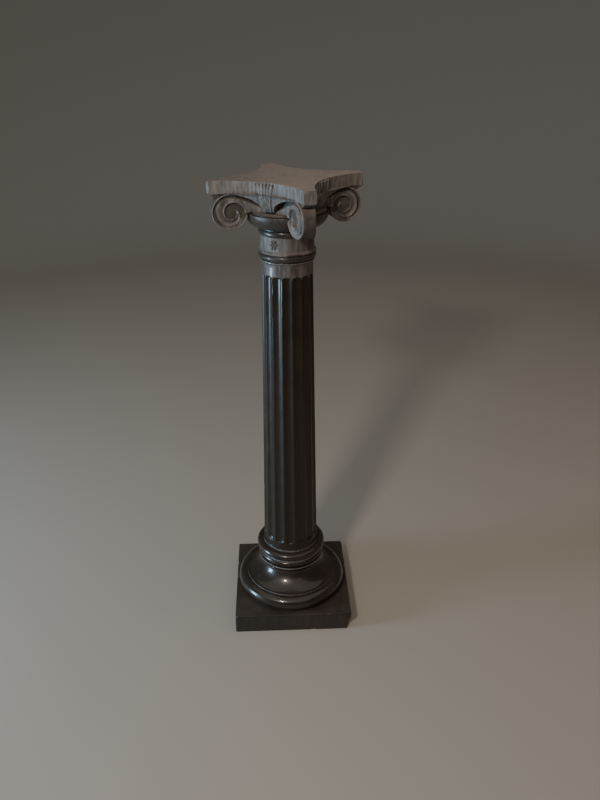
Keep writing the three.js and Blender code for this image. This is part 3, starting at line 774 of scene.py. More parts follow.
def scroll_carving(r, z):
    """Carving over the plane through a corner of the capital: r outward along the diagonal, z up.
    0 is the sunk channel, 1 the face of the strand and of the rim bead, below 0 the eye. The channel
    is partly filled under the eye."""
    inward, up = SCROLL_CENTRE[0] - r, z - SCROLL_Z
    distance = np.hypot(inward, up)
    angle = np.degrees(np.arctan2(up, inward)) % 360
    start = STRAND_OUTER[0]
    tip = WALL_MIDDLE * ROOT_HALF - 1
    top_r = SCROLL_CENTRE[0] - STRAND_OUTER[2] * math.cos(math.radians(start))
    top_z = SCROLL_Z + STRAND_OUTER[2] * math.sin(math.radians(start))
    share = np.clip((r - tip) / (top_r - tip), 0, 1)
    climb = LEDGE + STRAND_TIP + (top_z - LEDGE - STRAND_TIP) * np.sin(np.pi / 2 * share) ** STRAND_CLIMB
    to_outer = np.where(angle < start, (climb - z) * 0.87, strand_outer(angle) - distance)
    to_inner = distance - strand_inner(angle)
    strand = np.minimum(to_outer, to_inner)
    tail = np.minimum(strand_outer(angle + 360) - distance, distance - strand_inner(angle + 360))
    tail = np.where(angle < STRAND_OUTER[1] - 360, tail, -9)
    inside = np.maximum(strand, tail)
    width = np.maximum(to_outer + to_inner, 1)
    deep = STRAND_HOLLOW[0] + STRAND_HOLLOW[1] * smooth_step((angle - 70) / 60)
    hollow = deep * np.sin(np.pi * np.clip(to_inner / width, 0, 1) ** 0.7) * smooth_step(strand / 2)
    ridge_height, ridge_place, ridge_width = STRAND_RIDGE
    ridge = ridge_height * np.exp(-(((to_inner - ridge_place) / ridge_width) ** 2))
    ridge = ridge * smooth_step((angle - 8) / 30)
    height = smooth_step((inside + STRAND_SOFTNESS) / (2 * STRAND_SOFTNESS)) * (1 - hollow + ridge)
    eye = smooth_step(-to_inner / 2.2) * (1 - smooth_step((inside + 0.8) / 1.6))
    eye = eye * smooth_step((EYE_REACH - distance) / 4) * (0.65 + 0.35 * np.sin(np.radians(angle)))
    height = height - EYE_DEPTH * eye
    rim_line = scroll_outline(angle) - RIM_WIDTH / 2
    off = (distance - rim_line) / (RIM_WIDTH / 2)
    bead = np.where(off > 0, 1 - 0.4 * np.clip(off, 0, 1) ** 2, np.sqrt(np.clip(1 - off**2, 0, 1)))
    there = smooth_step((angle - RIM_FROM + 8) / 16) * smooth_step((RIM_TO + 6 - angle) / 12)
    below_eye = smooth_step((angle - 215) / 30) * smooth_step((345 - angle) / 20)
    filled = CHANNEL_FILLING * below_eye * (strand < 0) * (to_inner > 0) * (off < 0.5)
    return np.maximum.reduce([height, bead * there, filled])


def wall_line(across):
    """Plan of the hollow wall in a side's own directions, at places across it: the distance from the
    axis and the angle its face is turned by. A circle arc goes on straight to the abacus's corners."""
    end_away = (CORNER_REACH + SCROLL_THICKNESS / 2) * ROOT_HALF
    end_across = (CORNER_REACH - SCROLL_THICKNESS / 2) * ROOT_HALF
    turn = math.radians(WALL_TURN)
    bend = (end_across * math.tan(turn) + WALL_MIDDLE - end_away) / (1 / math.cos(turn) - 1)
    angle = np.arcsin(np.clip(across / bend, -math.sin(turn), math.sin(turn)))
    on_arc = WALL_MIDDLE + bend * (1 - np.cos(angle))
    straight = end_away - math.tan(turn) * (end_across - np.abs(across))
    return np.where(np.abs(across) < bend * math.sin(turn), on_arc, straight), angle


def scroll_half(r):
    """Half the thickness of a scroll: how far the wall's face lies from the diagonal, at a distance r
    along it."""
    across = np.linspace(0, (CORNER_REACH - SCROLL_THICKNESS / 2) * ROOT_HALF, 200)
    away = wall_line(across)[0]
    return np.interp(r, (away + across) * ROOT_HALF, (away - across) * ROOT_HALF)


def hand_over(r, z):
    """How far a point lies past the line where the wall's carving hands over to the scroll's: above
    0 on the wall's side. The line is a circle about the scroll, opened out above and below."""
    inward, up = SCROLL_CENTRE[0] - r, z - SCROLL_Z
    angle = (np.degrees(np.arctan2(up, inward)) + 90) % 360 - 90
    opened = smooth_step((np.abs(angle - 36) - 26) / 18)
    line = HAND_OVER[0] + (HAND_OVER[1] - HAND_OVER[0]) * opened
    return np.hypot(inward, up) - line


def wall_rings(depth):
    """The four hollow walls, sunk square to their faces where the channel runs, and sunk further
    where a scroll takes over."""
    across0 = np.linspace(-WALL_REACH, WALL_REACH, 104)
    away0, turn = wall_line(across0)
    r = ((away0 + np.abs(across0)) * ROOT_HALF)[None]
    z = np.linspace(LEDGE - 5, ABACUS_BOTTOM + 1.5, 40)[:, None]
    past = HAND_OVER_SINK * smooth_step(0.5 - hand_over(r, z) / HAND_OVER_FADE)
    sunk = depth * (1 - scroll_carving(r, z)) + past
    away = away0 - sunk * np.cos(turn)
    across = across0 + sunk * np.sin(turn)
    side = np.stack([away, across, z + 0 * away], -1)
    return np.concatenate([turned_about_axis(side, k * np.pi / 2) for k in range(4)], 1)


def scroll_rings(depth, corner):
    """One scroll about its own centre: rings grow from the middle of one face to the outline, cross
    the rim, which is slightly hollow, and shrink to the middle of the other face."""
    angle = np.linspace(0, 360, SCROLL_AROUND, endpoint=False)[None]
    outline = scroll_outline(angle)
    share = np.concatenate([np.linspace(0.04, 0.9, 27), np.linspace(0.912, 1, 8)])[:, None]
    distance = share * outline
    r = SCROLL_CENTRE[0] - distance * np.cos(np.radians(angle))
    z = SCROLL_Z + distance * np.sin(np.radians(angle))
    past = HAND_OVER_SINK * smooth_step(0.5 + hand_over(r, z) / HAND_OVER_FADE)
    sunk = depth * (1 - scroll_carving(r, z)) + past
    width = scroll_half(r) - sunk
    band = np.linspace(1, -1, 10)[1:-1, None]
    hollow = RIM_HOLLOW * (1 - band**2) / outline[-1:]
    rim_r = SCROLL_CENTRE[0] - (r[-1:] - SCROLL_CENTRE[0]) * (hollow - 1)
    rim_z = SCROLL_Z + (z[-1:] - SCROLL_Z) * (1 - hollow)
    all_r = np.concatenate([r, rim_r, r[::-1]])
    all_z = np.concatenate([z, rim_z, z[::-1]])
    all_w = np.concatenate([width, band * width[-1:], -width[::-1]])
    diagonal = math.radians(45 + 90 * corner)
    x = all_r * math.cos(diagonal) + all_w * math.sin(diagonal)
    y = all_r * math.sin(diagonal) - all_w * math.cos(diagonal)
    return np.stack([x, y, all_z], -1)


def abacus_side(across):
    """Distance of the abacus's hollow side from the axis: a circle arc between the corners."""
    away = (CORNER_REACH + SCROLL_THICKNESS / 2) * ROOT_HALF
    half = (CORNER_REACH - SCROLL_THICKNESS / 2) * ROOT_HALF
    hollow = away - ABACUS_MIDDLE
    bend = (half**2 + hollow**2) / (2 * hollow)
    return ABACUS_MIDDLE + bend - np.sqrt(bend**2 - across**2)


def flower_carving(across, z, rise):
    """Height of the flower on a side: petals fan out from the tongue's foot, each rounded across,
    with a groove between them that ends in a small scooped hollow under the top edge."""
    foot = LEDGE + TONGUE_FOOT[1]
    share = np.clip((z - foot) / (CAPITAL_HIGH - foot), 0, 1)
    half = FLOWER_FOOT + (FLOWER_TOP - FLOWER_FOOT) * share**1.15
    fan = across / half
    place = (fan + 1) / 2 * PETALS
    petal = 1 - np.abs((place % 1) * 2 - 1)
    rounded = np.sqrt(np.clip(1 - (1 - petal) ** 2, 0, 1))
    tip = CAPITAL_HIGH - PETAL_TIP[0] - PETAL_TIP[1] * (1 - petal) ** 2
    inside = smooth_step((1.02 - np.abs(fan)) / 0.1) * smooth_step((tip - z) / 1.6 + 0.5)
    vein = 0.25 * smooth_step((petal - 0.82) / 0.18)
    body = rise * inside * (0.35 + 0.65 * rounded - vein)
    near_groove = smooth_step((0.3 - petal) / 0.3) * (np.abs(fan) < 1.12)
    scoop = near_groove * np.exp(-(((z - CAPITAL_HIGH + SCOOP_PLACE[0]) / SCOOP_PLACE[1]) ** 2))
    return body - SCOOP_DEPTH * scoop


def side_places(count, half, crowd):
    """Places across a side from -half to half, closer together round the flower."""
    q = np.linspace(-1, 1, count)
    return half * ((1 - crowd) * q**3 + crowd * q)


def abacus_rings(rise):
    """The abacus: its plan with four hollow sides and clipped corners, edges rounded, the flower's
    upper part standing out of each side and the top drawn in to the middle."""
    half = (CORNER_REACH - SCROLL_THICKNESS / 2) * ROOT_HALF
    across = side_places(112, half, 0.34)
    clip = np.linspace(SCROLL_THICKNESS / 2, -SCROLL_THICKNESS / 2, 8)[1:-1]
    levels = slab_levels(
        ABACUS_BOTTOM, CAPITAL_HIGH, ABACUS_EDGE, 3, 21, ABACUS_UNDER_RINGS, ABACUS_TOP_RINGS
    )
    height, inset = (values[:, None] for values in levels)
    away = abacus_side(across)[None]
    carved = flower_carving(across[None], height, rise) * smooth_step(1 - inset / 4)
    scale = 1 - inset / ABACUS_MIDDLE
    side = np.stack([(away + carved) * scale, across * scale, height + 0 * away], -1)
    corner_x = (CORNER_REACH + clip) * ROOT_HALF * scale
    corner_y = (CORNER_REACH - clip) * ROOT_HALF * scale
    corner = np.stack([corner_x, corner_y, height + 0 * corner_x], -1)
    quarter = np.concatenate([side, corner], 1)
    rings = np.concatenate([turned_about_axis(quarter, k * np.pi / 2) for k in range(4)], 1)
    rng = np.random.default_rng(31)
    for k in range(4):
        for w in (-1, 1):
            diagonal = math.radians(45 + 90 * k) - w * math.asin(SCROLL_THICKNESS / 2 / CORNER_REACH)
            out = np.array([math.cos(diagonal), math.sin(diagonal), rng.uniform(-0.2, 0.7)])
            depth = 3.4 if k == 1 else rng.uniform(0.4, 0.9)
            radius = math.hypot(CORNER_REACH, SCROLL_THICKNESS / 2) - depth
            rings = chipped(rings, [radius * out[0], radius * out[1], CAPITAL_HIGH - 6], out, 16)
    for _ in range(26):
        k, place = rng.integers(4), rng.uniform(-half, half)
        point = np.array([float(abacus_side(place)) - 0.6, place, CAPITAL_HIGH - 0.6])
        direction = turned_about_axis(np.array([0.75, 0, 0.66]), k * np.pi / 2)
        rings = chipped(rings, turned_about_axis(point, k * np.pi / 2), direction, rng.uniform(4, 8))
    top = rings[..., 2:] > CAPITAL_HIGH - 0.2
    sag = 0.2 * (ripples(rings, 70, 32) - 1)[..., None] * UPWARDS
    return rings + sag * top


def tongue_rings(rise, side):
    """The tongue between two scroll arches: its front is the bell that hollows from the abacus down
    to the bowl's ledge, its edges are the arches, and the flower's lower part stands out of it."""
    foot = LEDGE + TONGUE_FOOT[1]
    turn = np.radians(np.linspace(0, 90, 34))[:, None]
    height = foot + (ABACUS_BOTTOM - foot) * np.sin(turn)
    half = TONGUE_FOOT[0] + (SCROLL_CENTRE[0] * ROOT_HALF - TONGUE_FOOT[0]) * (1 - np.cos(turn))
    above = np.array([[ABACUS_BOTTOM + 1.8]])
    height = np.concatenate([height, above])
    half = np.concatenate([half, half[-1:]])
    share = np.clip((height - LEDGE) / SCROLL_ZONE, 0, 1)
    scale = BELL_FOOT / ABACUS_MIDDLE + (1 - BELL_FOOT / ABACUS_MIDDLE) * share**BELL_CURVE
    across = side_places(64, 1, 0.42)[None] * half
    sunk = 0.06 * (height > ABACUS_BOTTOM + 0.5)
    away = scale * abacus_side(across / scale) + flower_carving(across, height, rise) - sunk
    back = np.maximum(45, half + 0.5)
    none = np.zeros_like(half)
    away = np.concatenate([away, back, none + 30, back], 1)
    across = np.concatenate([across, half, none, -half], 1)
    rings = np.stack([away, across, height + 0 * away], -1)
    return turned_about_axis(rings, side * np.pi / 2)


def beak_rings(corner):
    """The bevelled block between a scroll and the abacus's corner: upright rectangles, the outer
    side leaning out to the corner."""
    foot = ABACUS_BOTTOM - BEVEL[1]
    z = np.array([foot - 4, *np.linspace(foot, ABACUS_BOTTOM, 8), ABACUS_BOTTOM + 1.2])
    lean = np.clip((z - ABACUS_BOTTOM + BEVEL[1]) / BEVEL[1], -0.5, 1)
    reach = (CORNER_REACH - BEVEL[0] + (BEVEL[0] - 0.4) * lean)[:, None]
    half = SCROLL_THICKNESS / 2 - 0.4
    inner = 112.0
    outer, back = np.linspace(-half, half, 9), np.linspace(half, -half, 5)
    w = np.concatenate([outer, [half] * 4, back, [-half] * 4])[None]
    share = np.concatenate([[1] * 9, [0.8, 0.6, 0.4, 0.2], [0] * 5, [0.2, 0.4, 0.6, 0.8]])[None]
    r = inner + (reach - inner) * share
    w = w + 0 * r
    rings = np.stack([(r - w) * ROOT_HALF, (r + w) * ROOT_HALF, z[:, None] + 0 * r], -1)
    return turned_about_axis(rings, corner * np.pi / 2)


def capital_mesh(sizes):
    """All the capital's shells joined to one surface, made slightly uneven and turned on the shaft."""
    depth, rise = sizes.carving_depth / MM, sizes.flower_rise / MM
    shells = [ring_mesh("bowl", bowl_rings(sizes.rosette_rise / MM))]
    shells.append(ring_mesh("walls", wall_rings(depth)))
    for k in range(4):
        shells.append(ring_mesh(f"scroll_{k}", scroll_rings(depth, k)))
        shells.append(ring_mesh(f"beak_{k}", beak_rings(k)))
        shells.append(ring_mesh(f"tongue_{k}", tongue_rings(rise, k)))
    shells.append(ring_mesh("abacus", abacus_rings(rise)))
    mesh = joined("scroll_capital", shells)
    places = np.zeros(len(mesh.vertices) * 3, np.float32)
    mesh.vertices.foreach_get("co", places)
    places = places.reshape(-1, 3).astype(float) / MM
    low, high = places[:, 2:] < CAPITAL_LOW + 0.5, places[:, 2:] > CAPITAL_HIGH - 0.5
    waves = np.stack([ripples(places, 26, seed) for seed in (41, 42, 43)], -1)
    inside = smooth_step((CORNER_REACH - 2 - np.hypot(places[:, 0], places[:, 1])) / 6)[:, None]
    places = places + sizes.unevenness / MM * waves * ~(low | high) * inside
    places = turned_about_axis(places, sizes.capital_turn)
    places[:, 2] = np.clip(places[:, 2], CAPITAL_LOW, CAPITAL_HIGH)
    mesh.vertices.foreach_set("co", (places * MM).astype(np.float32).ravel())
    mesh.update()
    return mesh


def capital_matte(places):
    """1 on the unpolished scrolls and abacus, less on the neck, least on the bowl and its bead."""
    z = places[:, 2]
    radius = np.hypot(places[:, 0], places[:, 1])
    bead = smooth_step((z - CAPITAL_LOW - NECK[1] + 1) / 2) * smooth_step((LEDGE - 1.2 - z) / 0.6)
    rim = smooth_step((radius - 82.5) / 1.5) * (z > LEDGE - 4) * (z < LEDGE + 0.8)
    below = 1 - 0.25 * (z < CAPITAL_LOW + NECK[1])
    return below - 0.85 * np.maximum(bead, rim) * smooth_step((BOWL[0] + 3 - radius) / 4)


def capital_dust_and_sheen(places):
    """Where dust settles: everywhere but on the polished bowl and bead, with a painted sheen that thins it
    out towards the left, so the top is paler to the right.
    """
    # Painted sheen: dust thins out towards the left, so the top is paler to the right.
    painted_sheen = 0.1 + 0.9 * smooth_step((places[:, 0] + 150) / 170)
    return smooth_step(capital_matte(places) * 2 - 1) * painted_sheen


def diagonal_places(places, turn):
    """Places in the capital's own directions: along and across the nearest diagonal, and z."""
    local = turned_about_axis(places, -turn)
    x, y = np.abs(local[:, 0]), np.abs(local[:, 1])
    return (x + y) * ROOT_HALF, np.abs(x - y) * ROOT_HALF, local[:, 2]


def capital_rubbed_and_highlight(places, turn):
    """How much the faces of the strands and rims are rubbed bare and painted as highlights, added to the
    edges' exposure.
    """
    along, across, z = diagonal_places(places, turn)
    on_scroll = (z > LEDGE - 40) & (z < ABACUS_BOTTOM) & (along > WALL_MIDDLE * ROOT_HALF)
    on_scroll = on_scroll & (across > scroll_half(along) - 3)
    # Painted highlight: the raised strand faces and rim beads take the paler worn colour.
    return 0.38 * smooth_step((scroll_carving(along, z) - 0.7) / 0.25) * on_scroll


def capital_grime_and_shade(places, turn):
    """How much dirt and painted shade darken the carving: 1 in the sunk channels and eyes of the
    scrolls, on their outer rims and in the flower's scoops, less in its grooves, 0 on whatever stands out."""
    along, across, z = diagonal_places(places, turn)
    inward, up = SCROLL_CENTRE[0] - along, z - SCROLL_Z
    distance = np.hypot(inward, up)
    outline = scroll_outline(np.degrees(np.arctan2(up, inward)) % 360)
    face = scroll_half(along)
    # Painted shade on the scrolls' outer rims, which lie in shadow.
    outside = smooth_step((distance - outline + 3) / 1.5) * smooth_step((face - across) / 2)
    outside = outside * (z < ABACUS_BOTTOM - 1) * (along > 60)
    # Painted shade in the sunk channels and eyes near the scrolls.
    sunk = smooth_step((face - across - 1.6) / 2.6) * smooth_step((across - face + 9) / 3)
    sunk = sunk * smooth_step((40 - distance) / 4)
    carved = sunk * (z > LEDGE - 38) * (z < ABACUS_BOTTOM + 0.5) * (along > WALL_MIDDLE * ROOT_HALF)
    local = turned_about_axis(places, -turn)
    x, y = np.abs(local[:, 0]), np.abs(local[:, 1])
    side = np.maximum(x, y)
    quarter = local[:, 0] * local[:, 1]
    place = np.minimum(x, y) * np.sign(np.where(x > y, quarter, -quarter))
    flower = flower_carving(place, z, 1.0)
    on_side = (z > LEDGE + 4) & (z < CAPITAL_HIGH - 0.8) & (side < ABACUS_MIDDLE + 9) & (side > 60)
    # Painted shade in the flower's grooves and scoops.
    groove = smooth_step((0.4 - flower) / 0.5) * (np.abs(place) < FLOWER_TOP * 1.06) * on_side
    scoop = smooth_step(-flower / 1.2) * on_side
    return np.maximum.reduce([carved, outside, 0.35 * groove, scoop])


# Materials


class Nodes:
    """Adds nodes to a tree, with their settings and with values or links at their inputs."""

    def __init__(self, tree):
        self.tree = tree
        tree.nodes.clear()

    def add(self, kind, inputs=None, **settings):
        node = self.tree.nodes.new(kind)
        for name, value in settings.items():
            setattr(node, name, value)
        for socket, value in (inputs or {}).items():
            if isinstance(value, bpy.types.NodeSocket):
                self.tree.links.new(value, node.inputs[socket])
            elif value is not None:
                node.inputs[socket].default_value = value
        return node

    def math(self, operation, a, b=None, c=None):
        node = self.add("ShaderNodeMath", {0: a, 1: b, 2: c}, operation=operation)
        return node.outputs[0]

    def span(self, value, low, high, to_low=0.0, to_high=1.0):
        inputs = {"Value": value, "From Min": low, "From Max": high, "To Min": to_low, "To Max": to_high}
        return self.add("ShaderNodeMapRange", inputs, clamp=True).outputs["Result"]

    def mix(self, share, a, b):
        return self.add("ShaderNodeMix", {0: share, 6: a, 7: b}, data_type="RGBA").outputs[2]

    def noise(self, place, scale, detail=4.0, roughness=0.55):
        inputs = {"Vector": place, "Scale": scale, "Detail": detail, "Roughness": roughness}
        return self.add("ShaderNodeTexNoise", inputs).outputs["Fac"]

    def mask(self, title):
        return self.add("ShaderNodeAttribute", attribute_name=title).outputs["Fac"]


def new_group(title, inputs, outputs):
    """A node group with the given sockets: name, kind and, for inputs, the default."""
    tree = bpy.data.node_groups.new(title, "ShaderNodeTree")
    for name, kind, default in inputs:
        socket = tree.interface.new_socket(name=name, in_out="INPUT", socket_type=kind)
        socket.default_value = default
    for name, kind in outputs:
        tree.interface.new_socket(name=name, in_out="OUTPUT", socket_type=kind)
    nodes = Nodes(tree)
    start = nodes.add("NodeGroupInput")
    return tree, nodes, start.outputs


FLOAT = "NodeSocketFloat"
COLOR = "NodeSocketColor"


def stone_grain_group():
    """Clouded stone: two colours mixed by wide clouds, fine grain and scattered pale specks."""
    tree, nodes, given = new_group(
        "StoneGrain",
        [("Dark", COLOR, (0.02, 0.02, 0.02, 1)), ("Light", COLOR, (0.06, 0.05, 0.04, 1)),
         ("Clouding", FLOAT, 0.5)],
        [("Color", COLOR), ("Grain", FLOAT)],
    )
    place = nodes.add("ShaderNodeTexCoord").outputs["Object"]
    clouds = nodes.noise(place, 17.0, 5.0, 0.6)
    grain = nodes.noise(place, 420.0, 3.0, 0.6)
    cells = nodes.add("ShaderNodeTexVoronoi", {"Vector": place, "Scale": 260.0}, feature="F1")
    specks = nodes.span(cells.outputs["Distance"], 0.10, 0.22, 1.0, 0.0)
    amount = nodes.math("MULTIPLY", nodes.span(clouds, 0.38, 0.68), given["Clouding"])
    amount = nodes.math("ADD", amount, nodes.span(grain, 0.45, 0.75, 0.0, 0.3))
    amount = nodes.math("ADD", amount, nodes.math("MULTIPLY", specks, 0.35))
    color = nodes.mix(nodes.math("MINIMUM", amount, 1.0), given["Dark"], given["Light"])
    nodes.add("NodeGroupOutput", {"Color": color, "Grain": grain})
    return tree


def worn_and_highlight_group():
    """Rubbed edges and painted highlights: the worn colour where the surface stands out, broken up by noise.
    """
    tree, nodes, given = new_group(
        "WornEdgeAndHighlight",
        [("Color", COLOR, (0, 0, 0, 1)), ("Worn", COLOR, (0.2, 0.17, 0.13, 1)), ("Start", FLOAT, 0.1),
         ("Full", FLOAT, 0.3), ("Strength", FLOAT, 1.0)],
        [("Color", COLOR), ("Mask", FLOAT)],
    )
    place = nodes.add("ShaderNodeTexCoord").outputs["Object"]
    broken = nodes.span(nodes.noise(place, 90.0, 5.0, 0.65), 0.33, 0.6, 0.25, 1.0)
    edge = nodes.span(nodes.mask("exposed_and_highlit"), given["Start"], given["Full"])
    mask = nodes.math("MULTIPLY", nodes.math("MULTIPLY", edge, broken), given["Strength"])
    nodes.add("NodeGroupOutput", {"Color": nodes.mix(mask, given["Color"], given["Worn"]), "Mask": mask})
    return tree


def dust_and_sheen_group():
    """Dust on upward faces, in soft patches; on the capital its amount also carries a painted sheen."""
    tree, nodes, given = new_group(
        "SettledDustAndSheen",
        [("Color", COLOR, (0, 0, 0, 1)), ("Dust", COLOR, (0.2, 0.17, 0.13, 1)), ("Amount", FLOAT, 0.5)],
        [("Color", COLOR), ("Mask", FLOAT)],
    )
    place = nodes.add("ShaderNodeTexCoord").outputs["Object"]
    patches = nodes.span(nodes.noise(place, 26.0, 6.0, 0.65), 0.3, 0.7, 0.35, 1.0)
    upward = nodes.span(nodes.mask("upward"), 0.35, 0.98)
    mask = nodes.math("MULTIPLY", nodes.math("MULTIPLY", upward, patches), given["Amount"])
    nodes.add("NodeGroupOutput", {"Color": nodes.mix(mask, given["Color"], given["Dust"]), "Mask": mask})
    return tree


def tool_streak_group():
    """Upright tool marks: noise drawn out along the height, as a pale streak mask and a height."""
    tree, nodes, given = new_group(
        "ToolStreaks", [("Contrast", FLOAT, 1.0)], [("Mask", FLOAT), ("Height", FLOAT)]
    )
    place = nodes.add("ShaderNodeTexCoord").outputs["Object"]
    drawn = nodes.add("ShaderNodeMapping", {"Vector": place, "Scale": (1, 1, 0.14)}).outputs["Vector"]
    coarse = nodes.noise(drawn, 130.0, 4.0, 0.6)
    fine = nodes.noise(drawn, 420.0, 3.0, 0.6)
    both = nodes.math("ADD", nodes.math("MULTIPLY", coarse, 0.65), nodes.math("MULTIPLY", fine, 0.35))
    mask = nodes.math("MULTIPLY", nodes.span(both, 0.43, 0.6), given["Contrast"])
    nodes.add("NodeGroupOutput", {"Mask": mask, "Height": both})
    return tree


def group(title, make):
    """The node group of that name, built when it is first wanted."""
    return bpy.data.node_groups.get(title) or make()


def with_alpha(shade):
    """The colour as a socket takes it, with an alpha of 1."""
    return (*shade, 1.0)


def stone_material(title, colours, clouding, gloss, wear, dust, streaks, shine, coat):
    """Stone that is polished where the matte mask is 0 and unpolished where it is 1. gloss holds the
    roughness of both, wear the start, full value and strength of the worn edges and painted highlights,
    dust and streaks their amounts, shine the strength of the plain reflection and coat that of the
    clear polish over it."""
    material = bpy.data.materials.new(title)
    material.use_nodes = True
    nodes = Nodes(material.node_tree)

    def use(name, make, inputs):
        """Outputs of a node group placed here with its own inputs."""
        return nodes.add("ShaderNodeGroup", inputs, node_tree=group(name, make)).outputs

    matte = nodes.mask("matte")
    place = nodes.add("ShaderNodeTexCoord").outputs["Object"]
    dark = use("StoneGrain", stone_grain_group, {
        "Dark": with_alpha(colours.polished), "Light": with_alpha(colours.polished_vein),
        "Clouding": clouding,
    })
    marks = use("ToolStreaks", tool_streak_group, {"Contrast": streaks})
    rough_stone = nodes.mix(marks["Mask"], with_alpha(colours.matte), with_alpha(colours.matte_light))
    color = nodes.mix(matte, dark["Color"], rough_stone)
    patches = nodes.span(nodes.noise(place, 60.0), 0.25, 0.55, 0.7, 1.0)
    # Grime and painted shade darken the carving.
    grime_and_shade = nodes.math("MULTIPLY", nodes.mask("grime_and_shade"), patches)
    color = nodes.mix(nodes.math("MULTIPLY", grime_and_shade, 0.75), color, with_alpha(colours.grime_and_shade))
    # Worn edges, together with the painted highlights on the fillets and strands.
    worn_and_highlight = use("WornEdgeAndHighlight", worn_and_highlight_group, {
        "Color": color, "Worn": with_alpha(colours.worn_and_highlight),
        "Start": wear[0], "Full": wear[1], "Strength": wear[2],
    })
    # Dust, and on the capital the painted sheen.
    dust_and_sheen = use("SettledDustAndSheen", dust_and_sheen_group, {
        "Color": worn_and_highlight["Color"], "Dust": with_alpha(colours.dust),
        "Amount": nodes.math("MULTIPLY", nodes.mask("dust_and_sheen"), dust),
    })
    smear = nodes.span(nodes.noise(place, 34.0, 6.0, 0.7), 0.3, 0.7, -0.07, 0.1)
    polish = nodes.math("ADD", nodes.math("MULTIPLY_ADD", matte, gloss[1] - gloss[0], gloss[0]), smear)
    polish = nodes.math("MULTIPLY_ADD", worn_and_highlight["Mask"], 0.25, polish)
    polish = nodes.math("MULTIPLY_ADD", dust_and_sheen["Mask"], 0.35, polish)
    roughness = nodes.math("MINIMUM", nodes.math("MAXIMUM", polish, 0.05), 0.95)
    streak_height = nodes.math("MULTIPLY", marks["Height"], nodes.math("MULTIPLY_ADD", matte, 0.9, 0.03))
    grain_share = nodes.math("MULTIPLY_ADD", matte, 0.5, 0.03)
    height = nodes.math("MULTIPLY_ADD", dark["Grain"], grain_share, streak_height)
    bump = nodes.add("ShaderNodeBump", {"Height": height, "Strength": 0.5, "Distance": 0.0012})
    shader = nodes.add("ShaderNodeBsdfPrincipled", {
        "Base Color": dust_and_sheen["Color"], "Roughness": roughness, "Normal": bump.outputs["Normal"], "IOR": 1.5,
        "Specular IOR Level": shine, "Coat Weight": coat, "Coat Roughness": 0.07, "Coat IOR": 1.5,
    })
    nodes.add("ShaderNodeOutputMaterial", {"Surface": shader.outputs["BSDF"]})
    return material


# Stage

CAMERA_PLACE = (-0.03173, -1.49830, 1.36553)
CAMERA_YAW = 2.193
CAMERA_PITCH = 27.4585
CAMERA_ROLL = -0.250
FOCAL_PIXELS = 716.63
PICTURE_HEIGHT = 800
SENSOR = 36.0
FLOOR_COLOUR = (0.42, 0.40, 0.36)
WORLD_LIGHT = (0.05, (1.0, 0.97, 0.93))
LIGHT_AIM = 0.7

# Title, azimuth, elevation, distance, size, power, colour and whether the stone mirrors it
LIGHTS = (
    ("window", -79, -5, 2.6, (0.55, 0.85), 56, (0.52, 0.77, 1.0), True),
    ("lamp", -24, 35, 2.4, (0.26, 0.12), 25, (1.0, 0.86, 0.76), True),
    ("ceiling", -10, 78, 2.6, (5.0, 5.0), 38, (1.0, 0.95, 0.83), True),
    ("room", 72, 25, 2.8, (3.0, 2.4), 8, (1.0, 0.40, 0.22), False),
)


def add_camera():
    """The camera at the photograph's viewing angle, from its fitted place, yaw, pitch and roll."""
    yaw, pitch, roll = (math.radians(v) for v in (CAMERA_YAW, CAMERA_PITCH, CAMERA_ROLL))
    forward = Vector((math.sin(yaw) * math.cos(pitch), math.cos(yaw) * math.cos(pitch), -math.sin(pitch)))
    right = forward.cross(Vector((0, 0, 1))).normalized()
    up = right.cross(forward)
    side = right * math.cos(roll) + up * math.sin(roll)
    top = up * math.cos(roll) - right * math.sin(roll)
    data = bpy.data.cameras.new("camera")
    data.sensor_width = SENSOR
    data.lens = FOCAL_PIXELS * SENSOR / PICTURE_HEIGHT
    camera = bpy.data.objects.new("camera", data)
    turned = Matrix((side, top, -forward)).transposed().to_4x4()
    camera.matrix_world = Matrix.Translation(CAMERA_PLACE) @ turned
    bpy.context.scene.collection.objects.link(camera)
    bpy.context.scene.camera = camera


def add_floor():
    """A wide pale floor that curves up all round into a plain wall: a turned open surface."""
    flat, rise, height = 3200, 2600, 3600
    curve = round_part((flat, height), (rise, -height), 90, 0, 24)
    profile = np.concatenate([[(1, 0), (600, 0), (1800, 0)], curve, [(flat + rise, height + 600)]])
    rings = turned_rings(profile, np.linspace(0, 2 * np.pi, 96, endpoint=False))
    levels, count = rings.shape[:2]
    faces = ring_faces(levels, count)[:, ::-1].tolist() + [list(range(count))]
    mesh = bpy.data.meshes.new("floor")
    mesh.from_pydata((rings.reshape(-1, 3) * MM).tolist(), [], faces)
    mesh.shade_smooth()
    floor = bpy.data.objects.new("floor", mesh)
    bpy.context.scene.collection.objects.link(floor)
    material = bpy.data.materials.new("pale_floor")
    material.use_nodes = True
    nodes = Nodes(material.node_tree)
    shader = nodes.add("ShaderNodeBsdfPrincipled", {"Base Color": (*FLOOR_COLOUR, 1), "Roughness": 0.9})
    nodes.add("ShaderNodeOutputMaterial", {"Surface": shader.outputs["BSDF"]})
    mesh.materials.append(material)


